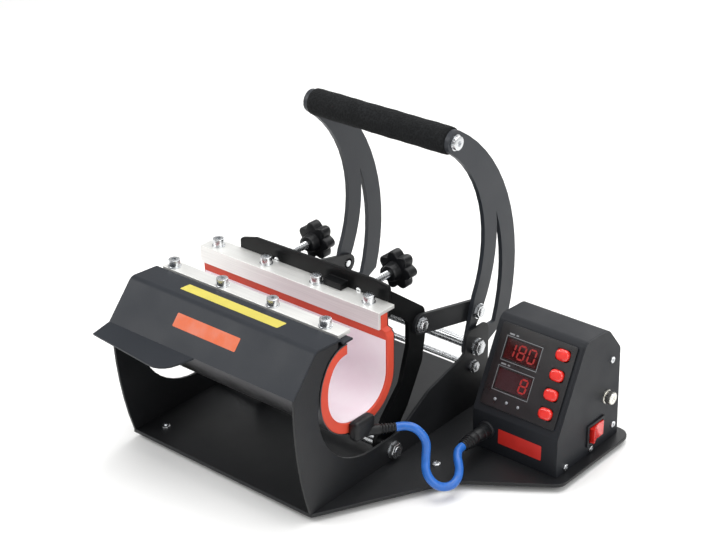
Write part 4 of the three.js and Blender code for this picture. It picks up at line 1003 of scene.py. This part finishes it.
def path_length(line, point):
    """How far along a bent line the nearest point lies, in millimetres."""
    best, found, walked = None, 0, 0
    for start, end in zip(line, line[1:]):
        way = end - start
        share = max(0, min(1, (point - start).dot(way) / way.length_squared))
        gap = (start + way * share - point).length_squared
        if best is None or gap < best:
            best, found = gap, walked + way.length * share
        walked += way.length
    return found


class MUGPRESS_OT_heated_wrap(bpy.types.Operator):
    """Make the wrap's band, silicone pad and cloth liner"""

    bl_idname = "mug_press.heated_wrap"
    bl_label = "Heated wrap"

    def execute(self, context):
        top = WRAP_CORNERS[-1][1]
        # Near and far faces, trim in front, top behind, inset at the ends, edge rounding, finish and nodes
        layers = (
            ("wrap_band", 0, 1, 0, top, 0, 0.2, "band", ["wrap_steel_shell"]),
            ("wrap_pad", 1.1, 11.6, 0, top, 0, 1.6, "pad", ["wrap_heater_pad", "wrap_heater_flap"]),
            ("wrap_liner_cloth", 11.65, 12.5, 0.05, 147, 2, 0.3, "liner", ["wrap_liner"]),
        )
        for name, near, far, trim, rear_top, inset, edge, surface, nodes in layers:
            low_x, high_x = WRAP_LEFT + inset, WRAP_RIGHT - inset
            shape, line = wrap_sheet(near, far, trim, rear_top, low_x, high_x, edge)
            uv = shape.loops.layers.uv.new("cloth")
            for face in shape.faces:
                for loop in face.loops:
                    point = Vector((loop.vert.co.y, loop.vert.co.z))
                    loop[uv].uv = (loop.vert.co.x - low_x, path_length(line, point))
            piece = made_piece(shape, name, surface, None, nodes, even=True)
            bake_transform(piece)
        return {"FINISHED"}


class MUGPRESS_OT_wrap_sleeve(bpy.types.Operator):
    """Mould the block and the sleeve that lead the wires out of the wrap"""

    bl_idname = "mug_press.wrap_sleeve"
    bl_label = "Wrap sleeve"

    def execute(self, context):
        shape = bmesh.new()
        add_block(shape, (1.3, 55, 63), (13.3, 84, 84))
        soften(shape, 4, segments=4)
        start = Vector((6, 74, 66))
        end = Vector((26.5, 98.5, 67))
        reach = (end - start).length
        profile = [(0, 0), (0, 5.2)]
        for index in range(5):
            low = 5.5 - 0.9 * index / 5
            far = reach * 0.5 + index * reach * 0.095
            profile += [(far, low), (far + 0.6, low - 0.9), (far + 1.8, low - 0.9), (far + 2.4, low)]
        profile += [(reach - 0.6, 4.6), (reach, 4.2), (reach, 0)]
        add_turned(shape, start, end - start, profile, sides=36)
        made_piece(closed(shape), "wrap_sleeve", "boot", "cradle", ["wrap_lead_gland"], sharp_angle=45)
        return {"FINISHED"}


class MUGPRESS_OT_jaw(bpy.types.Operator):
    """Round the edges of the jaw's arms and cross member and coat them"""

    bl_idname = "mug_press.jaw"
    bl_label = "Jaw"

    def execute(self, context):
        for node in ("jaw_arm_left", "jaw_arm_right", "jaw_cross_member"):
            dress_copy(node, node + "_coated", "jaw", "jaw", sheet_edge(context, 1.2))
        return {"FINISHED"}


def add_pin(shape, sign, y, z, inner_end, inner_face, outer_face):
    """A pin with a domed hexagon head outside and, where there is room, a nut inside."""
    way = RIGHT * sign
    reach = outer_face - inner_end
    profile = soft_profile([(0, 0), (0, 4), (reach + 0.5, 4), (reach + 0.5, 0)], [0, 0.6, 0, 0], 2)
    add_turned(shape, (HANDLE_X + sign * inner_end, y, z), way, profile, sides=28)
    closed(shape)
    face = HANDLE_X + sign * outer_face
    add_washer(shape, (face, y, z), way, 4.2, 8.6, 0.9, 32)
    add_hex_nut(shape, (face + sign * 0.9, y, z), way, 7.6, PIN_HEAD - 1.4)
    dome = [(0, 0), (0, 5.6), (0.7, 5.0), (1.1, 3.6), (1.3, 0)]
    add_turned(shape, (face + sign * (PIN_HEAD - 1), y, z), way, dome, sides=28)
    if inner_face > inner_end:
        add_hex_nut(shape, (HANDLE_X + sign * inner_face, y, z), -way, 7.6, inner_face - inner_end - 0.4)


class MUGPRESS_OT_pins(bpy.types.Operator):
    """Turn the pivot pins of the jaw and of the handle"""

    bl_idname = "mug_press.pins"
    bl_label = "Pivot pins"

    def execute(self, context):
        pins = (
            ("jaw_pin_", "jaw", 185, 133, 75.6, 80, 90),
            ("crank_pin_", "handle", 276, 113, 85, 85, ARM_REACH),
        )
        for word, sign in SIDES.items():
            for prefix, body, *places in pins:
                node = prefix + word
                shape = bmesh.new()
                add_pin(shape, sign, *places)
                made_piece(outward(shape), node + "_turned", "zinc", body, [node], sharp_angle=35)
        return {"FINISHED"}


class MUGPRESS_OT_knobs(bpy.types.Operator):
    """Mould the two lobed pressure knobs and turn their studs"""

    bl_idname = "mug_press.knobs"
    bl_label = "Pressure knobs"

    def execute(self, context):
        hub = soft_profile([(0, 0), (0, 8), (2, 9), (10, 10.5), (10, 0)], [0, 0.8, 1, 0, 0], 3)
        dish = soft_profile([(0, 0), (0, 9.5), (1.4, 8.6), (0.9, 5.4), (0.9, 0)], [0, 0, 0.4, 0.3, 0], 3)
        # The thread is drawn as rings, 1.25 mm apart
        thread = [(0, 0), (0, 3.2)]
        for index in range(37):
            thread += [(0.4 + index * 1.25, 3.4), (1.0 + index * 1.25, 4.0)]
        thread += [(47.4, 3.4), (47.4, 0)]
        for node, x in KNOB_XS.items():
            shape = bmesh.new()
            disc = bmesh.ops.create_circle(
                shape, cap_ends=True, segments=112, radius=21, matrix=placed((x, 195.4, KNOB_Z), REAR)
            )["verts"]
            for vert in disc:
                # Seven broad lobes with narrow valleys between them
                away = Vector((vert.co.x - x, vert.co.z - KNOB_Z))
                wave = (0.5 + 0.5 * math.cos(7 * math.atan2(away.y, away.x))) ** 0.6
                away *= 1 - 0.24 * (1 - wave)
                vert.co.x, vert.co.z = x + away.x, KNOB_Z + away.y
            drawn_out(shape, shape.faces[:][0], (0, 13.2, 0))
            closed(shape)
            rims = [e for e in shape.edges if abs(e.verts[0].co.y - e.verts[1].co.y) < 0.01]
            bevelled(shape, rims, 3, 4)
            # Hub towards the cross member and a shallow dish with a cap behind
            add_turned(shape, (x, 186, KNOB_Z), REAR, hub)
            add_turned(shape, (x, 208.2, KNOB_Z), REAR, dish)
            made_piece(closed(shape), node + "_moulded", "knob", node, [node], sharp_angle=38)
            shape = bmesh.new()
            add_turned(shape, (x, 138.6, KNOB_Z), REAR, thread, sides=24)
            made_piece(closed(shape), node + "_stud", "zinc", node, sharp_angle=60)
            shape = bmesh.new()
            add_hex_nut(shape, (x, 142, KNOB_Z), REAR, 8.2, 5)
            made_piece(shape, node + "_collar_nut", "zinc", "jaw", sharp_angle=35)
        return {"FINISHED"}


class MUGPRESS_OT_handle_arms(bpy.types.Operator):
    """Round the edges of the crescent arms, coat them and set their cap screws"""

    bl_idname = "mug_press.handle_arms"
    bl_label = "Handle arms"

    def execute(self, context):
        for word, sign in SIDES.items():
            node = "handle_arm_" + word
            dress_copy(node, node + "_coated", "arm", "handle", sheet_edge(context, 1.4), segments=3)
            shape = bmesh.new()
            seat = HANDLE_X + sign * (ARM_REACH - 0.1)
            add_cap_head(shape, (seat, 281, 90), RIGHT * sign, 5.4, 2.6, 2.1, sides=24)
            made_piece(shape, node + "_screw", "zinc", "handle", sharp_angle=35)
        return {"FINISHED"}


class MUGPRESS_OT_grip(bpy.types.Operator):
    """Make the grip's tube, its foam sleeve and the bolts in its ends"""

    bl_idname = "mug_press.grip"
    bl_label = "Grip"

    def execute(self, context):
        shape = bmesh.new()
        reach = 179.4
        profile = [(0, 8.6), (0, 12.2), (0.5, 13.4), (1.6, 14.2)]
        for index in range(1, 24):
            # The sleeve swells and sinks a little along its length
            swell = 0.18 * math.sin(index * 1.9) - 0.1 * math.cos(index * 0.7)
            profile.append((reach * index / 24, 14.5 + swell))
        profile += [(reach - 1.6, 14.2), (reach - 0.5, 13.4), (reach, 12.2), (reach, 8.6), (0, 8.6)]
        add_turned(shape, (-188.7, GRIP_Y, GRIP_Z), RIGHT, profile, sides=56)
        made_piece(closed(shape), "foam_grip_sleeve", "foam", "handle", ["foam_grip"])
        dress_copy("grip_tube", "grip_tube_drawn", "zinc", "handle", 0.3, hard_angle=60, even=False)
        for word, sign in SIDES.items():
            node = "grip_bolt_" + word
            # The lower end comes first in the box, and it is the inner one on the right
            inner, outer = [(TO_MM @ corner).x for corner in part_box(node)][::sign]
            face = HANDLE_X + sign * ARM_REACH
            reach = abs(face - inner)
            shape = bmesh.new()
            shank = [(0, 0), (0, 3.6), (0.5, 4), (reach, 4), (reach, 0)]
            add_turned(shape, (inner, GRIP_Y, GRIP_Z), RIGHT * sign, shank, sides=28)
            add_washer(shape, (face, GRIP_Y, GRIP_Z), RIGHT * sign, 4.2, 8.4, 1, 32)
            closed(shape)
            head = (face + sign, GRIP_Y, GRIP_Z)
            add_cap_head(shape, head, RIGHT * sign, 7.4, abs(outer - face) - 0.8, 2.8, sides=30)
            made_piece(shape, node + "_turned", "zinc", "handle", [node], sharp_angle=35)
        return {"FINISHED"}


class MUGPRESS_OT_links(bpy.types.Operator):
    """Round the edges of the two toggle links and coat them"""

    bl_idname = "mug_press.links"
    bl_label = "Links"

    def execute(self, context):
        for word in SIDES:
            node = "link_" + word
            dress_copy(node, node + "_coated", "frame", "links", sheet_edge(context))
        return {"FINISHED"}


class MUGPRESS_OT_control_box(bpy.types.Operator):
    """Round the edges of the control box and its side cover, coat them and set their screws"""

    bl_idname = "mug_press.control_box"
    bl_label = "Control box"

    def execute(self, context):
        dress_copy("control_box_shell", "control_box_coated", "box", "cradle", 0.6, hard_angle=40)
        dress_copy("control_box_side_cover", "side_cover_coated", "box", "cradle", 0.7, hard_angle=40)
        shape = bmesh.new()
        for y, z in ((296.4, 99.6), (305.1, 18.7), (264.4, 9), (218, 9.9)):
            add_cap_head(shape, (BOX_SIDE - 0.1, y, z), RIGHT, 3.6, 1.9, 1.4, sides=24)
        made_piece(shape, "side_cover_screws", "zinc", "cradle", sharp_angle=35)
        return {"FINISHED"}


def on_panel(depth):
    """The place of a plate that lies on the panel, at a distance out from its origin."""
    return PANEL @ Matrix.Translation((0, 0, depth))


def add_digit(shape, digit, left, low):
    """A seven-segment digit drawn on the panel."""
    half = DIGIT_HEIGHT / 2
    right = left + DIGIT_WIDTH
    # Each bar's start, and whether it lies across
    places = {
        "a": (left, low + DIGIT_HEIGHT, True), "g": (left, low + half, True), "d": (left, low, True),
        "f": (left, low + half, False), "b": (right, low + half, False), "e": (left, low, False),
        "c": (right, low, False),
    }
    for letter in SEGMENTS[digit]:
        x, y, across = places[letter]
        start, tip = DIGIT_BAR * 0.175, DIGIT_BAR / 2
        stop = start + (DIGIT_WIDTH if across else half) - DIGIT_BAR * 0.35
        bar = [
            (start, 0), (start + tip, -tip), (stop - tip, -tip),
            (stop, 0), (stop - tip, tip), (start + tip, tip),
        ]
        points = [(x + far, y + off) if across else (x - off, y + far) for far, off in bar]
        # The digits lean a little, as on the usual display
        leaned = [(px + (py - low) * 0.08, py) for px, py in points]
        add_plate(shape, leaned, 0.12, on_panel(1.3))


class MUGPRESS_OT_control_panel(bpy.types.Operator):
    """Lay the printed panel with its two displays, their digits and the lamps"""

    bl_idname = "mug_press.control_panel"
    bl_label = "Control panel"

    def execute(self, context):
        look = looks(context)
        dress_copy("control_fascia", "control_fascia_film", "film", "cradle", 0.25, hard_angle=50)
        numbers = {
            "display_lower": (look.display_time, "lit"), "display_upper": (look.display_temperature, "dim"),
        }
        for node, (number, surface) in numbers.items():
            dress_copy(node, node + "_pane", "window", "cradle", 0.2, hard_angle=50)
            shape = bmesh.new()
            for place, digit in enumerate(str(number).rjust(3)):
                if digit != " ":
                    add_digit(shape, digit, 20.4 + place * 12.4, DISPLAY_LOWS[node] + 4)
            made_piece(shape, node + "_digits", surface, "cradle", sharp_angle=35)
        # Printed frames round the displays, with small marks over them, and the lamps' lenses
        shape = bmesh.new()
        for start in DISPLAY_LOWS.values():
            for left, right, low, high, radius in PANEL_MARKS:
                outline = rounded_box(left, right, start + low, start + high, radius, 2)
                add_plate(shape, outline, 0.06, on_panel(FILM_FRONT))
        made_piece(shape, "panel_print", "print", "cradle", sharp_angle=35)
        shape = bmesh.new()
        for across in (23, 37, 51):
            dome = [(0, 0), (0, 1.6), (0.4, 1.45), (0.75, 0.9), (0.9, 0)]
            add_turned(shape, PANEL @ Vector((across, 17, FILM_FRONT)), PANEL_OUT, dome, sides=20)
        made_piece(closed(shape), "panel_lamps", "lens", "cradle", sharp_angle=60)
        return {"FINISHED"}


class MUGPRESS_OT_buttons(bpy.types.Operator):
    """Mould the four red buttons with their domed caps"""

    bl_idname = "mug_press.buttons"
    bl_label = "Buttons"

    def execute(self, context):
        for index, up in enumerate(BUTTON_UPS):
            node = f"button_{index + 1}"
            shape = bmesh.new()
            outline = rounded_box(BUTTON_ACROSS - 7.8, BUTTON_ACROSS + 7.8, up - 6.05, up + 6.05, 5.5, 7)
            add_plate(shape, outline, 5.3, on_panel(0.5))
            top = max(shape.faces, key=lambda f: (f.calc_center_median() - PANEL_ORIGIN).dot(PANEL_OUT))
            bevelled(shape, list(top.edges), 3, 7)
            made_piece(shape, node + "_moulded", "button", node, [node], even=True)
        return {"FINISHED"}


class MUGPRESS_OT_rocker(bpy.types.Operator):
    """Finish the power switch: its frame and its red paddle"""

    bl_idname = "mug_press.rocker"
    bl_label = "Power switch"

    def execute(self, context):
        parts = (("rocker_frame", "trim", "cradle"), ("rocker_paddle", "button", "rocker"))
        for node, surface, body in parts:
            dress_copy(node, node + "_moulded", surface, body, 0.5, hard_angle=50)
        return {"FINISHED"}


class MUGPRESS_OT_box_fittings(bpy.types.Operator):
    """Finish the fuse holder, the heater socket, the mains inlet and the board in the box"""

    bl_idname = "mug_press.box_fittings"
    bl_label = "Box fittings"

    def execute(self, context):
        shape = bmesh.new()
        profile = [
            (-20, 0), (-20, 5.6), (0, 5.8), (0, 7.4), (1.6, 7.4), (2, 6.6), (2.4, 6.6), (2.6, 6.9),
            (8.2, 6.9), (9, 6.2), (9, 2.8), (8.2, 2.4), (8.2, 0),
        ]
        flutes = 48
        add_turned(shape, (BOX_SIDE, FUSE_Y, FUSE_Z), RIGHT, profile, sides=flutes)
        closed(shape)
        # Fine flutes on the cap
        for vert in shape.verts:
            away = Vector((vert.co.y - FUSE_Y, vert.co.z - FUSE_Z))
            if 2.5 < vert.co.x - BOX_SIDE < 8.3 and away.length > 6.8:
                step = round(math.atan2(away.y, away.x) / (math.tau / flutes))
                if step % 2:
                    vert.co.y, vert.co.z = FUSE_Y + away.x * 0.94, FUSE_Z + away.y * 0.94
        made_piece(shape, "fuse_holder_turned", "nickel", "cradle", ["fuse_holder"], sharp_angle=30)
        shape = bmesh.new()
        profile = [
            (0, 0), (0, 7.8), (0.2, 8.6), (0.6, 9.2), (1.2, 9.5), (2.5, 9.5), (2.5, 7), (12.5, 7), (12.5, 0),
        ]
        add_turned(shape, (SOCKET_X, 199.5, SOCKET_Z), REAR, profile)
        made_piece(
            closed(shape), "heater_socket_moulded", "trim", "cradle", ["heater_socket"], sharp_angle=38
        )
        dress_copy("power_inlet", "power_inlet_moulded", "trim", "cradle", 0.5, hard_angle=50)
        shape = bmesh.new()
        for x, z in ((90, 37.5), (104, 37.5), (97, 42)):
            add_block(shape, (x - 1, 306.5, z - 2), (x + 1, 315.5, z + 2))
        soften(shape, 0.35)
        made_piece(shape, "power_inlet_blades", "nickel", "cradle", even=True)
        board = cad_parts["controller_board"]
        board.data.materials.clear()
        board.data.materials.append(finish("board")[0])
        return {"FINISHED"}


class MUGPRESS_OT_label_strips(bpy.types.Operator):
    """Lay the plain vinyl strips on the cover and on the control box"""

    bl_idname = "mug_press.label_strips"
    bl_label = "Plain strips"

    def execute(self, context):
        # Each strip's outline, and the tilt and the place of the face that it lies on
        strips = (
            ("cover_strip", "yellow", (-192, -60, 12, 26, 1.5), math.atan2(-2.2, 36.3), (0, 13, 180)),
            ("cover_stripe", "orange", (-172, -87, 21, 35.5, 1.2), math.atan2(38.5, 34), (0, -21, 141.5)),
            ("box_strip", "red", (77.2, 130, 17.5, 34.5, 1.2), math.pi / 2, (0, 202, 0)),
        )
        for name, surface, outline, tilt, place in strips:
            shape = bmesh.new()
            face = Matrix.Translation(place) @ Matrix.Rotation(tilt, 4, "X")
            add_plate(shape, rounded_box(*outline), STRIP_THICKNESS, face)
            made_piece(shape, name, surface, "cradle", sharp_angle=35)
        return {"FINISHED"}


STEPS = (
    MUGPRESS_OT_stage, MUGPRESS_OT_heater_lead, MUGPRESS_OT_base_plate, MUGPRESS_OT_feet,
    MUGPRESS_OT_end_plates, MUGPRESS_OT_cross_rods, MUGPRESS_OT_front_cover, MUGPRESS_OT_clamp_bars,
    MUGPRESS_OT_bar_bolts, MUGPRESS_OT_heated_wrap, MUGPRESS_OT_wrap_sleeve, MUGPRESS_OT_jaw,
    MUGPRESS_OT_pins, MUGPRESS_OT_knobs, MUGPRESS_OT_handle_arms, MUGPRESS_OT_grip, MUGPRESS_OT_links,
    MUGPRESS_OT_control_box, MUGPRESS_OT_control_panel, MUGPRESS_OT_buttons, MUGPRESS_OT_rocker,
    MUGPRESS_OT_box_fittings, MUGPRESS_OT_label_strips,
)


class MUGPRESS_PT_dressing(bpy.types.Panel):
    """Lists the steps that dress the press"""

    bl_idname = "MUGPRESS_PT_dressing"
    bl_label = "Mug Press"
    bl_space_type = "VIEW_3D"
    bl_region_type = "UI"
    bl_category = "Mug Press"

    def draw(self, context):
        look = looks(context)
        for name in MugPressLooks.__annotations__:
            self.layout.prop(look, name)
        for step in STEPS:
            self.layout.operator(step.bl_idname)


def register():
    for made in (MugPressLooks, *STEPS, MUGPRESS_PT_dressing):
        bpy.utils.register_class(made)
    bpy.types.Scene.mug_press = bpy.props.PointerProperty(type=MugPressLooks)


def unregister():
    del bpy.types.Scene.mug_press
    for made in reversed((MugPressLooks, *STEPS, MUGPRESS_PT_dressing)):
        bpy.utils.unregister_class(made)


def main():
    register()
    for step in STEPS:
        group, action = step.bl_idname.split(".")
        getattr(getattr(bpy.ops, group), action)()


if __name__ == "__main__":
    main()
